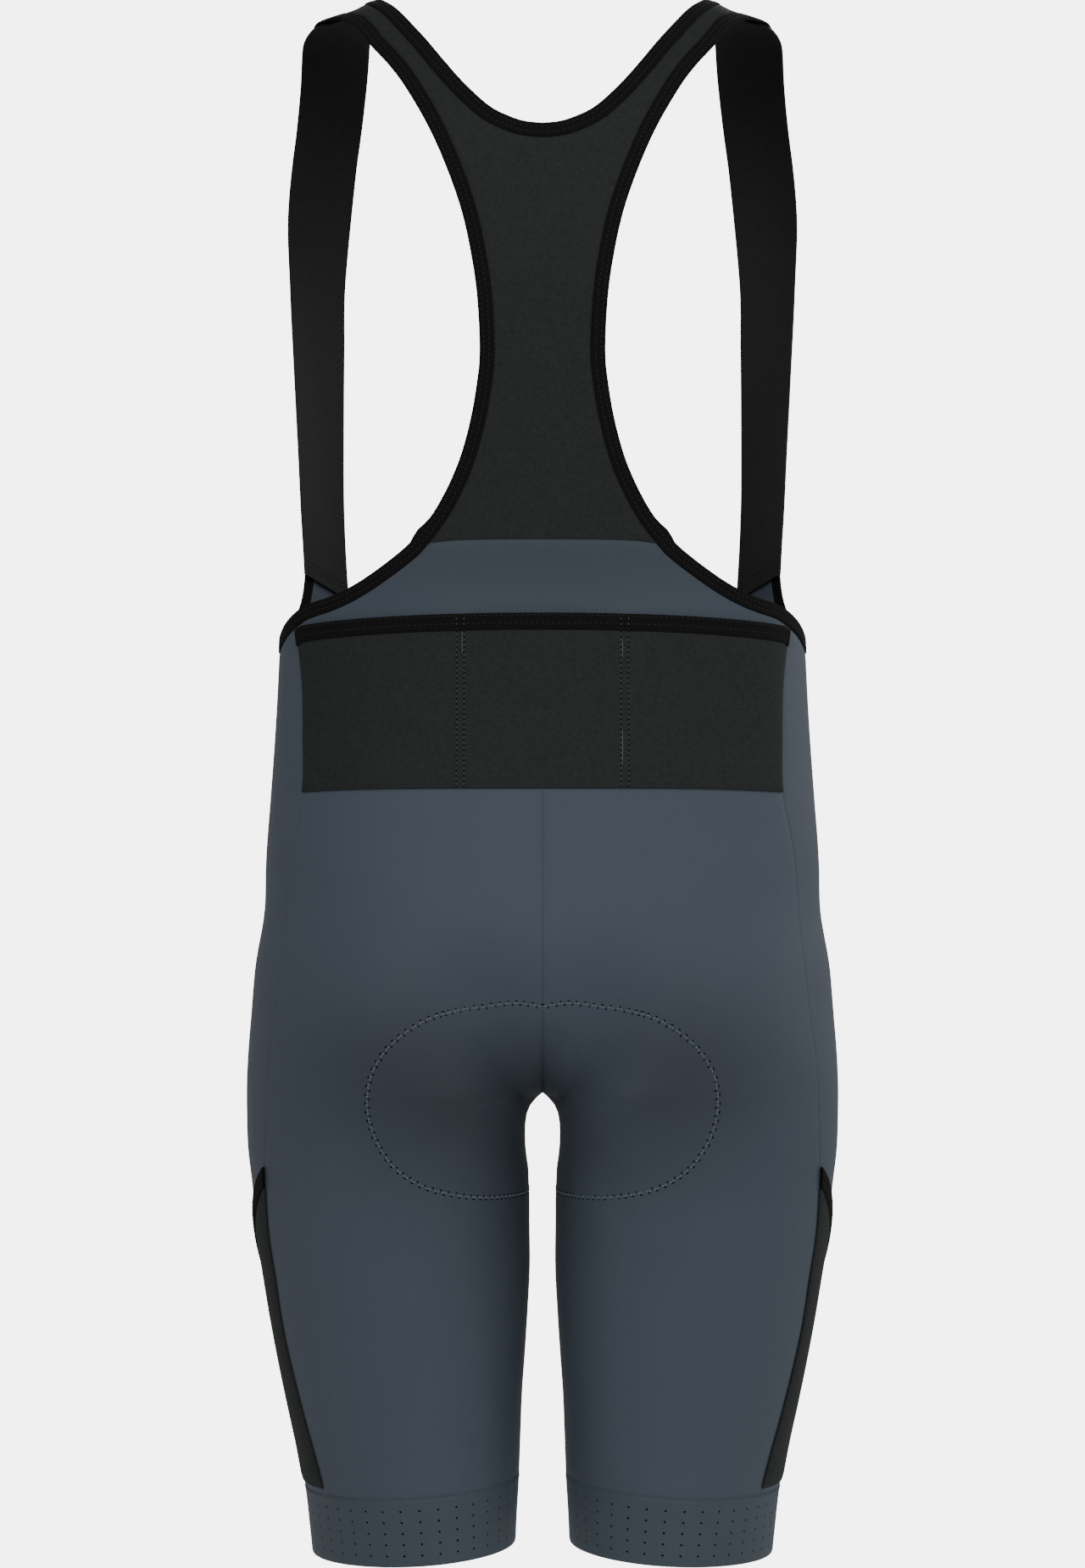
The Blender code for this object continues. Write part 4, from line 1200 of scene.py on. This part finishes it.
def makeYokeAndPocket():
    across = np.linspace(meshSeamPlaces[0, 0], 0, pocket["yokeColumns"] + 1)[1:]
    heights = np.interp(across, meshSeamPlaces[::-1, 0], meshSeamPlaces[::-1, 1])
    middle = np.column_stack([uAtBack(across, heights), heights])
    top = np.vstack([lines["yokeTop"][::-1], middle])
    topBack = sideSeams(top[:1, 1])[0][0]
    shares = (top[:, 0] - topBack) / (1 - topBack)
    away = 1 - shares
    levelTop = sizes["pocketTop"] - sizes["pocketTopDrop"] * away ** sizes["pocketTopPower"]
    pocketTop = np.minimum(levelTop, top[:, 1] - sizes["pocketClearance"])
    pocketBottom = sizes["pocketBottom"] - sizes["pocketCornerDip"] * away ** sizes["pocketCornerPower"]
    trimBottom = pocketTop - sizes["pocketTrimWidth"]
    upper = np.linspace(top[:, 1], pocketTop, pocket["yokeRows"] + 1)
    lower = np.linspace(trimBottom, pocketBottom, pocket["rows"] + 1)
    heights = np.vstack([upper, lower])
    backs = sideSeams(heights)[0]
    places = np.stack([backs + shares * (1 - backs), heights], axis=-1)
    places[0, :, 0] = top[:, 0]

    seams = ("firstRow", "firstColumn", "lastRow")
    yoke = patch(body, places, seams)
    yoke.points[:, -1, 0] = 0.0
    makePanel("yoke", bothHalves(yoke))

    # The pocket is one strip of mesh: its own grid keeps to the same edges.
    stops = np.linspace(0, len(shares) - 1, pocket["finer"] * (len(shares) - 1) + 1)
    before = np.minimum(stops.astype(int), len(shares) - 2)
    part = (stops - before)[None, :, None]
    fine = places[:, before] * (1 - part) + places[:, before + 1] * part
    trim = bothHalves(mouthTape(fine[pocket["yokeRows"] : pocket["yokeRows"] + 2]))
    bottom, topMost = float(pocketBottom.min()), float(pocketTop.max())
    lift = bellyOf(trim, topMost, bottom)
    faces = [face + lift.T for face in bindingFaces(onPocket=True)]
    cutAndRows = sizes["pocketTrimWidth"], pocket["trimRows"]
    makeBinding("back_pocket_binding", turnedTape(trim), "_stitches", faces, *cutAndRows)

    cloth = bothHalves(patch(body, fine[pocket["yokeRows"] + 1 :], seams))
    lift = bellyOf(cloth, topMost, bottom)
    dip = rolled(cloth, ("firstColumn", "lastColumn", "lastRow"), 0.5, 2.0)
    outer = pocket["out"] + lift + dip
    mesh = wall("back_pocket_mesh", cloth, outer, outer - pocket["thick"], finishes["mesh"])
    settle(mesh, "ribbed_mesh", "back_pocket")
    makeDividers(topMost, bottom)
    return shares, pocketBottom


def backPath(x, zHigh, zLow, count=60):  # a straight line down the back at one x
    z = np.linspace(zHigh, zLow, count)
    u = uAtBack(np.full(count, abs(x)), z)
    places = np.column_stack([u, z])
    points, normals = body.point(places), normalAt(body, places)
    flip = np.array([math.copysign(1, x), 1, 1])
    return points * flip, normals * flip


def makeDividers(top, bottom):
    threads, holes = [], []
    under = ["back_pocket_mesh", "back_pocket_binding_tape"]
    for middle in pocket["dividers"]:
        for side in (-1, 1):
            path = backPath(middle + side * pocket["dividerHalf"], top - 1.0, bottom + 2.0)
            threads.append(straightStitches(*path, pocket["stitch"], under))
            holes.append(needleHoles(*path, pocket["stitch"], under))
    sewn("back_pocket_divider_stitches", threads, finishes["pocketThread"], "ribbed_mesh")
    sewn("back_pocket_divider_needle_hole_shades", holes, finishes["needleHoleShade"], "ribbed_mesh")
    slits = []
    for side, aside, zHigh, zLow in pocket["slits"]:
        middle = pocket["dividers"][0 if side < 0 else 1] + aside
        points, normals = backPath(middle, zHigh, zLow, 16)
        half = pocket["slitWidth"] / 2 * np.sin(np.linspace(0, math.pi, 16)) ** 0.5
        centre = onto(["back_pocket_mesh"], points, normals, dot["lift"])
        aside = half[:, None] * [1, 0, 0]
        edges = np.stack([centre - aside, centre + aside], axis=1)
        slits.append((edges.reshape(-1, 3), gridFaces(16, 2)))
    sewn("back_pocket_divider_slits", slits, finishes["cloth"], "stretch_cloth")


yokeShares, pocketBottom = makeYokeAndPocket()
print("yoke and back pocket made")


# Back and front panels
panels = {
    "backColumns": 36,
    "frontRowsAbove": 14,
    "waistTop": -482.0,
    "waistRows": 10,
    "crotchRows": 20,
    "underRows": 8,
    "thighTop": -698.0,
    "thighRows": 34,
    "padRise": 0.7,
    "padPlace": (99.0, 648.0, 56.0),  # reach aside, depth of the middle and reach up
    "softPlace": (48.0, -602.0, 44.0, 46.0),  # x, z and reach along both
    "softTop": (646.0, 16.0),  # where the softening starts above the crotch, and over what height
    "softRounds": 30,
    "softPull": 0.8,
}


def bodyLevels():  # heights of the rows, closer where the legs part
    waist = np.linspace(panels["waistTop"], form["blendTop"], panels["waistRows"] + 1)[:-1]
    turns = np.linspace(0, math.pi / 2, panels["crotchRows"] + 1)
    crotch = form["blendTop"] + (form["crotch"] - form["blendTop"]) * np.sin(turns)
    shares = np.linspace(0, 1, panels["underRows"] + 1)[1:-1] ** 1.3
    under = form["crotch"] + (panels["thighTop"] - form["crotch"]) * shares
    thigh = np.linspace(panels["thighTop"], sizes["gripperSeam"], panels["thighRows"])
    return np.concatenate([waist, crotch, under, thigh])


def padSwell(cloth):  # the pad under the seat stands a little proud inside its seam
    x, y, z = np.moveaxis(cloth.points, -1, 0)
    reachX, depth, reachZ = panels["padPlace"]
    away = np.hypot(np.abs(x) / reachX, (z + depth) / reachZ)
    return panels["padRise"] * eased((1.02 - away) / 0.10) * (y < 0)


def softened(cloth):  # the back's hollow between the legs turns without an edge
    points = cloth.points.copy()
    x, _, z = np.moveaxis(points, -1, 0)
    cx, cz, reachX, reachZ = panels["softPlace"]
    start, climb = panels["softTop"]
    share = np.exp(-(((x - cx) / reachX) ** 2) - ((z - cz) / reachZ) ** 2) * eased((z + start) / climb)
    share[0], share[-1], share[:, 0] = 0, 0, 0
    flat = points[..., [0, 2]]
    for _ in range(panels["softRounds"]):
        deep = np.pad(points[..., 1], 1, mode="reflect")
        wide = np.pad(flat, ((1, 1), (1, 1), (0, 0)), mode="edge")
        total, weights = 0, 0
        for rows, columns in ((0, 1), (1, 0)):
            for sign in (-1, 1):
                first, side = 1 + sign * rows, 1 + sign * columns
                there = slice(first, first + len(x)), slice(side, side + x.shape[1])
                distance = np.linalg.norm(wide[there] - flat, axis=-1)
                weight = 1 / np.maximum(distance, 0.5)
                total, weights = total + weight * deep[there], weights + weight
        points[..., 1] += panels["softPull"] * share * (total / weights - points[..., 1])
    turned = unit(np.cross(np.gradient(points, axis=0), np.gradient(points, axis=1)))
    turned *= np.sign((turned * cloth.normals).sum(axis=-1, keepdims=True))
    normals = unit(cloth.normals + share[..., None] * (turned - cloth.normals))
    return cloth._replace(points=points, normals=levelled(points, normals))


def makeBack():
    shares = np.linspace(0, 1, panels["backColumns"] + 1)
    top = np.interp(shares, yokeShares, pocketBottom)
    levels = bodyLevels()
    heights = np.vstack([top, np.linspace(top, np.full(len(top), levels[0]), 4)[1:-1],
                         np.broadcast_to(levels[:, None], (len(levels), len(top)))])
    backs = sideSeams(heights)[0]
    places = np.stack([backs + shares * (1 - backs), heights], axis=-1)
    cloth = softened(patch(body, places, allSeams))
    for word, half, side in twoSides(cloth):
        makePanel("back_" + word, half, side, padSwell(half))


def makeFront():
    top = np.vstack([lines["frontSideTop"][:-1], lines["frontTop"]])
    shares = top[:, 0] / sideSeams(top[:1, 1])[1][0]
    upper = np.linspace(top[:, 1], np.full(len(top), panels["waistTop"]), panels["frontRowsAbove"] + 1)
    levels = bodyLevels()
    heights = np.vstack([upper[:-1], np.broadcast_to(levels[:, None], (len(levels), len(top)))])
    places = np.stack([shares * sideSeams(heights)[1], heights], axis=-1)
    places[0, :, 0] = top[:, 0]
    for word, half, side in twoSides(patch(body, places, allSeams)):
        makePanel("front_" + word, half, side)


makeBack()
makeFront()
print("back and front panels made")


# The seam that holds the seat pad: a zigzag over the back panels, between the legs and up the front
seatSeam = {
    "back": (  # u, z from the centre back round to the inside of the leg
        (1.0, -593.8), (0.972, -592.7), (0.944, -592.5), (0.890, -593.6), (0.833, -597.6),
        (0.806, -605.5), (0.788, -616.4), (0.776, -629.8), (0.770, -643.7), (0.767, -658.5),
        (0.769, -673.4), (0.778, -687.3), (0.799, -698.4), (0.827, -704.1), (0.857, -706.8),
        (0.894, -708.2), (0.935, -709.4), (1.0, -710.5),
    ),
    "front": (  # u, z from the inside of the leg up to the centre front
        (0.0, -710.5), (0.060, -707.5), (0.105, -699.0), (0.130, -684.0), (0.140, -664.0),
        (0.135, -640.0), (0.115, -612.0), (0.085, -592.0), (0.045, -580.5), (0.0, -577.0),
    ),
    "half": 2.5,  # half the zigzag's period
    "reach": 0.85,
    "diveOut": 0.05,  # how much of each thread is hidden at its outer and inner end
    "diveIn": 0.38,
    "width": 0.56,
    "height": 0.26,
    "outerHole": (1.00, 0.50),  # half length and half width
    "outerBy": 0.66,
    "innerHole": (0.72, 0.58),
    "innerBy": 0.05,
}


def makeSeatSeam():
    under = ["back_right_cloth", "front_right_cloth"]
    for word, flip in (("right", 1), ("left", -1)):
        swing = np.array([flip, 1, 1])
        threads, holes = [], []
        for knots in (seatSeam["back"], seatSeam["front"]):
            line = curveThrough(knots)
            line[:, 0] = np.clip(line[:, 0], 0, 1)
            points, normals = body.point(line), normalAt(body, line)
            stops = np.arange(0.25 * seatSeam["half"], travelled(points)[-1] - 0.6, seatSeam["half"])
            spots, ups = alongPath(points, normals, stops)
            ahead = alongPath(points, normals, stops + 0.5)[0] - spots
            outward = unit(np.cross(ups, ahead))
            out = np.arange(len(stops)) % 2 == 0
            swung = np.where(out, 1, -1)[:, None] * outward
            turns = spots + seatSeam["reach"] * swung
            legs = turns[1:] - turns[:-1]
            dive = np.where(out, seatSeam["diveOut"], seatSeam["diveIn"])[:, None]
            ends = [turns[:-1] + dive[:-1] * legs, turns[1:] - dive[1:] * legs]
            starts, ends = (onto(under, spot, ups[:-1], 0.0) * swing for spot in ends)
            size = seatSeam["width"], seatSeam["height"]
            threads.append(threadArrays(starts, ends, ups[:-1] * swing, *size))
            for which, hole, by in ((out, "outerHole", "outerBy"), (~out, "innerHole", "innerBy")):
                spots = (turns + seatSeam[by] * swung)[which]
                centres = onto(under, spots, ups[which], dot["lift"]) * swing
                holes.append(dotArrays(centres, ups[which] * swing, ahead[which] * swing, *seatSeam[hole]))
        sewn("seat_seam_stitches_" + word, threads, finishes["seatThread"], "stretch_cloth")
        sewn("seat_seam_needle_hole_shades_" + word, holes, finishes["needleHoleShade"], "stretch_cloth")


makeSeatSeam()
print("seat seam sewn")


# Side panels with their leg pockets
sidePocket = {
    "rows": 60,
    "pocketRows": 34,
    "out": 1.3,
    "thick": 1.0,
    "endsAbove": 1.2,  # the mesh is turned in above the gripper's seam
    "lap": 0.0009,  # of the way round: how far the side panel reaches under its neighbours
}


def makeSide():
    top = lines["sideTop"]
    ends = top[0, 0], top[-1, 0]
    shares = (ends[0] - top[:, 0]) / (ends[0] - ends[1])  # 0 at the back seam, 1 at the front
    mouth = sizes["mouthBack"] - sizes["mouthFall"] * shares ** sizes["mouthCurve"]
    trimBottom = mouth - sizes["trimWidth"] / math.cos(math.radians(sizes["mouthSlant"]))
    upper = np.linspace(top[:, 1], mouth, sidePocket["rows"] + 1)
    level = np.full(len(top), sizes["sidePocketBottom"])
    lower = np.linspace(trimBottom, level, sidePocket["pocketRows"] + 1)
    last = np.full((1, len(top)), sizes["gripperSeam"])
    heights = np.vstack([upper, lower, last])
    backs, fronts = sideSeams(heights)
    places = np.stack([backs + shares * (fronts - backs), heights], axis=-1)
    places[0, :, 0] = top[:, 0]
    mouthRow = len(upper) - 1
    lapped = places.copy()
    lapped[1:, 0, 0] += sidePocket["lap"]
    lapped[1:, -1, 0] -= sidePocket["lap"]
    cloth = patch(body, lapped, allSeams)
    trim = mouthTape(places[mouthRow : mouthRow + 2])
    low = places[mouthRow + 1 : -1].copy()
    low[:, :, 1] += sidePocket["endsAbove"] * np.linspace(0, 1, len(low))[:, None] ** 3
    pocketCloth = patch(body, low, ("firstColumn", "lastColumn"))
    faces = bindingFaces(onPocket=True)
    for (word, panel, _), (_, tape, _), (_, mesh, _) in zip(*map(twoSides, (cloth, trim, pocketCloth))):
        makePanel("side_" + word, panel)
        makeBinding("side_pocket_binding_" + word, turnedTape(tape), "_stitches", faces)
        outer = sidePocket["out"] + rolled(mesh, ("firstColumn", "lastColumn", "lastRow"), 0.5, 2.0)
        name = "side_pocket_" + word
        piece = wall(name + "_mesh", mesh, outer, outer - sidePocket["thick"], finishes["mesh"])
        settle(piece, "ribbed_mesh", name)


makeSide()
print("side panels and leg pockets made")


# Leg grippers with rows of small holes
gripper = {
    "cellWide": 11.2,  # from one hole to the next in its row
    "columns": 38,
    "rows": 5,
    "firstRow": 7.0,  # from the seam to the first row of holes
    "pitch": 6.7,
    "hole": 0.76,  # half its width
    "cloth": 0.8,
    "thick": 1.5,
    "ridge": (0.28, 1.7, 0.8),  # the turned-in cloth's low ridge: height, place and reach
    "seamEdge": (0.45, 0.7),  # how far the face closes in, and over what length
    "hemEdge": (0.35, 0.7),
    "stitch": {"pitch": 1.9, "length": 2.1, "width": 0.34, "height": 0.16, "lean": 0.5},
    "plainAbove": 3,
    "plainBelow": 2,
    "drop": 40.5,
}


def gripperGrid():
    # A cell holds one hole: an eight-sided ring inside the cell's eight border points.
    rows, columns = gripper["rows"], gripper["columns"]
    turns = ((-1, -1), (-1, 0), (-1, 1), (0, 1), (1, 1), (1, 0), (1, -1), (0, -1))
    top = gripper["firstRow"] - gripper["pitch"] / 2
    bottom = top + rows * gripper["pitch"]
    points, faces = [], []

    def strip(high, low):
        start = len(points)
        for i in range(2 * columns + 1):
            points.append((i / 2, high))
            points.append((i / 2, low))
        for i in range(2 * columns):
            a = start + 2 * i
            faces.append((a, a + 1, a + 3, a + 2))

    drop = gripper["drop"]
    above = [0.0, 0.5, 1.3, *np.linspace(2.4, top, gripper["plainAbove"])]
    below = [*np.linspace(bottom, drop - 1.4, gripper["plainBelow"]), drop - 0.6, drop]
    for stops in (above, below):
        for high, low in zip(stops, stops[1:]):
            strip(high, low)
    for row in range(rows):
        high = top + row * gripper["pitch"]
        low = high + gripper["pitch"]
        middle = (high + low) / 2
        for i in range(columns):
            across, down = (i, i + 0.5, i + 1), (high, middle, low)
            start = len(points)
            points += [(across[1 + dx], down[1 + dy]) for dx, dy in turns]
            for dx, dy in turns:
                reach = 0.7 if dx and dy else 1
                wide, tall = gripper["hole"] / gripper["cellWide"] * reach, gripper["hole"] * reach
                points.append((across[1] + wide * dx, middle + tall * dy))
            for k in range(8):
                after = (k + 1) % 8
                faces.append((start + k, start + after, start + 8 + after, start + 8 + k))
    return np.array(points, float), np.array(faces)


def makeGripper():
    grid, faces = gripperGrid()
    # The columns are as far apart all round the leg.
    around = np.linspace(0, 1, 241)
    middle = np.column_stack([around, np.full(len(around), sizes["gripperSeam"] - gripper["drop"] / 2)])
    lengths = travelled(body.point(middle))
    u = np.interp(grid[:, 0] / gripper["columns"], lengths / lengths[-1], around)
    z = sizes["gripperSeam"] - grid[:, 1]
    places = np.column_stack([np.clip(u, 0, 1), z])
    wrap = places[:, 0] >= 1.0
    places[wrap, 0] = 0.0
    points = body.point(places)
    normals = normalAt(body, np.column_stack([np.clip(places[:, 0], 0.002, 1), z]))
    down = grid[:, 1]
    (rise, place, width), seamEdge, hemEdge = gripper["ridge"], gripper["seamEdge"], gripper["hemEdge"]
    edge = np.exp(-(((gripper["drop"] - down) / hemEdge[1]) ** 2))
    ridge = rise * np.exp(-(((down - place) / width) ** 2))
    outer = ridge - seamEdge[0] * np.exp(-((down / seamEdge[1]) ** 2)) - hemEdge[0] * edge
    inner = np.full(len(down), -gripper["cloth"])
    flat = np.column_stack([grid[:, 0] * gripper["cellWide"], -down])
    # A plain near-black sheet closes the holes from inside: painted shade for what shows through them.
    around, deep = np.linspace(0, 1, gripper["columns"] * 2 + 1), np.linspace(0.4, gripper["drop"], 14)
    plain = np.stack(np.meshgrid(around, sizes["gripperSeam"] - deep), axis=-1)
    plain[:, -1, 0] = 0.0
    holeShadeSheet = patch(body, plain)
    holeShadeSheet.normals[:, -1] = holeShadeSheet.normals[:, 0] = unit(holeShadeSheet.normals[:, 0] + holeShadeSheet.normals[:, 1])
    for word, inside, flip in twoSides(holeShadeSheet):
        swing = np.array([flip, 1, 1])
        cloth = Cloth(points[:, None] * swing, normals[:, None] * swing, flat[:, None])
        name = "gripper_" + word
        piece = wall(name + "_band", cloth, outer[:, None], inner[:, None], finishes["perforated"], faces)
        settle(piece, "perforated_cloth", name)
        top = -gripper["cloth"] - 0.05
        plainPiece = wall(name + "_hole_shade_sheet", inside, top, -gripper["thick"], finishes["holeShadeSheet"])
        settle(plainPiece, "perforated_cloth")
        sewHem(name, swing)


def sewHem(name, swing):  # slanted stitches over the seam that joins the gripper on
    stitch = gripper["stitch"]
    around = np.linspace(0, 1, 241)
    level = np.column_stack([around, np.full(len(around), sizes["gripperSeam"])])
    points = body.point(level)
    normals = normalAt(body, np.column_stack([np.clip(around, 0.002, 0.998), level[:, 1]]))
    stops = np.arange(stitch["pitch"], travelled(points)[-1] - stitch["pitch"], stitch["pitch"])
    low, up = alongPath(points, normals, stops)
    high, _ = alongPath(points, normals, stops + stitch["lean"])
    half = stitch["length"] / 2 * np.array([0, 0, 1])
    high, low = high + half - 0.1 * up, low - half - 0.1 * up
    threads = threadArrays(high * swing, low * swing, up * swing, stitch["width"], stitch["height"])
    sewn(name + "_seam_stitches", [threads], finishes["hemThread"], "perforated_cloth")


makeGripper()
print("grippers made")


# Shoulder straps of woven elastic
strap = {
    "line": (  # x, v of the middle, from its end under the racerback's arm
        (117.5, 30.0), (121.5, 42.0), (125.8, 56.0), (128.1, 68.0), (131.0, 98.0), (134.6, 125.0),
        (138.7, 151.6), (141.6, 180.0), (143.0, 210.0), (143.3, 238.0), (142.6, 266.0), (141.1, 320.0),
        (139.3, 373.0), (136.6, 422.0),
    ),
    "width": Table(
        "v width",
        (30, 43.0), (58, 43.2), (130, 43.0), (180, 43.0), (235, 38.8), (270, 39.6), (330, 41.6),
        (422, 40.4),
    ),
    "columns": 14,
    "out": -2.1,
    "thick": 1.5,
    "endSkew": 17.0,  # the lower end is cut on a slant, lower at the inner edge
    "skewLength": 45.0,
    "selvedge": 0.25,
    "stitchRows": (6.0, 9.0),  # from the slanted end
    "stitch": {"pitch": 2.8, "length": 1.9, "width": 0.42, "height": 0.2, "lift": -0.03},
}


def makeStraps():
    middle = edgeLine(over, strap["line"], sizes["edgeStep"])
    lengths = travelled(over.point(middle))
    fromEnd = lengths[-1] * (1 - np.linspace(0, 1, len(middle)))
    skew = strap["endSkew"] * np.clip(1 - fromEnd / strap["skewLength"], 0, 1)
    widths = strap["width"](middle[:, 1])[0]
    middleShares = np.linspace(-0.40, 0.40, strap["columns"] - 5)
    shares = np.array([-0.5, -0.48, -0.45, *middleShares, 0.45, 0.48, 0.5])
    columns = []
    for side in shares:
        column = beside(over, middle, side * widths) if side else middle.copy()
        inward = 1 if column[0, 0] < middle[0, 0] else -1
        column[:, 1] += inward * abs(side) * skew
        columns.append(column)
    places = np.stack(columns, axis=1)
    flat = np.stack(np.broadcast_arrays(shares[None] * widths[:, None], lengths[:, None]), axis=-1)
    cloth = Cloth(over.point(places), normalAt(over, places), flat)
    edge = np.abs(shares)[None]
    thin = strap["selvedge"] * (np.exp(-(((0.5 - edge) / 0.012) ** 2)))
    outer = strap["out"] - thin + np.zeros((len(middle), 1))
    inner = strap["out"] - strap["thick"] + thin + np.zeros((len(middle), 1))
    for word, half, _ in twoSides(cloth):
        name = "strap_%s_elastic" % word
        settle(wall(name, half, outer, inner, finishes["elastic"]), "elastic", "strap_" + word)
        rows = []
        for back in strap["stitchRows"]:
            across = []
            for c in range(2, len(shares) - 2):
                path = half.points[:, c], half.normals[:, c]
                across.append(alongPath(*path, [travelled(path[0])[-1] - back]))
            points, normals = (np.vstack(parts) for parts in zip(*across))
            for sign in (-1, 1):
                rows.append(straightStitches(points, sign * normals, strap["stitch"], [name]))
        sewn("strap_stitches_" + word, rows, finishes["strapThread"], "elastic")


makeStraps()
print("straps made")
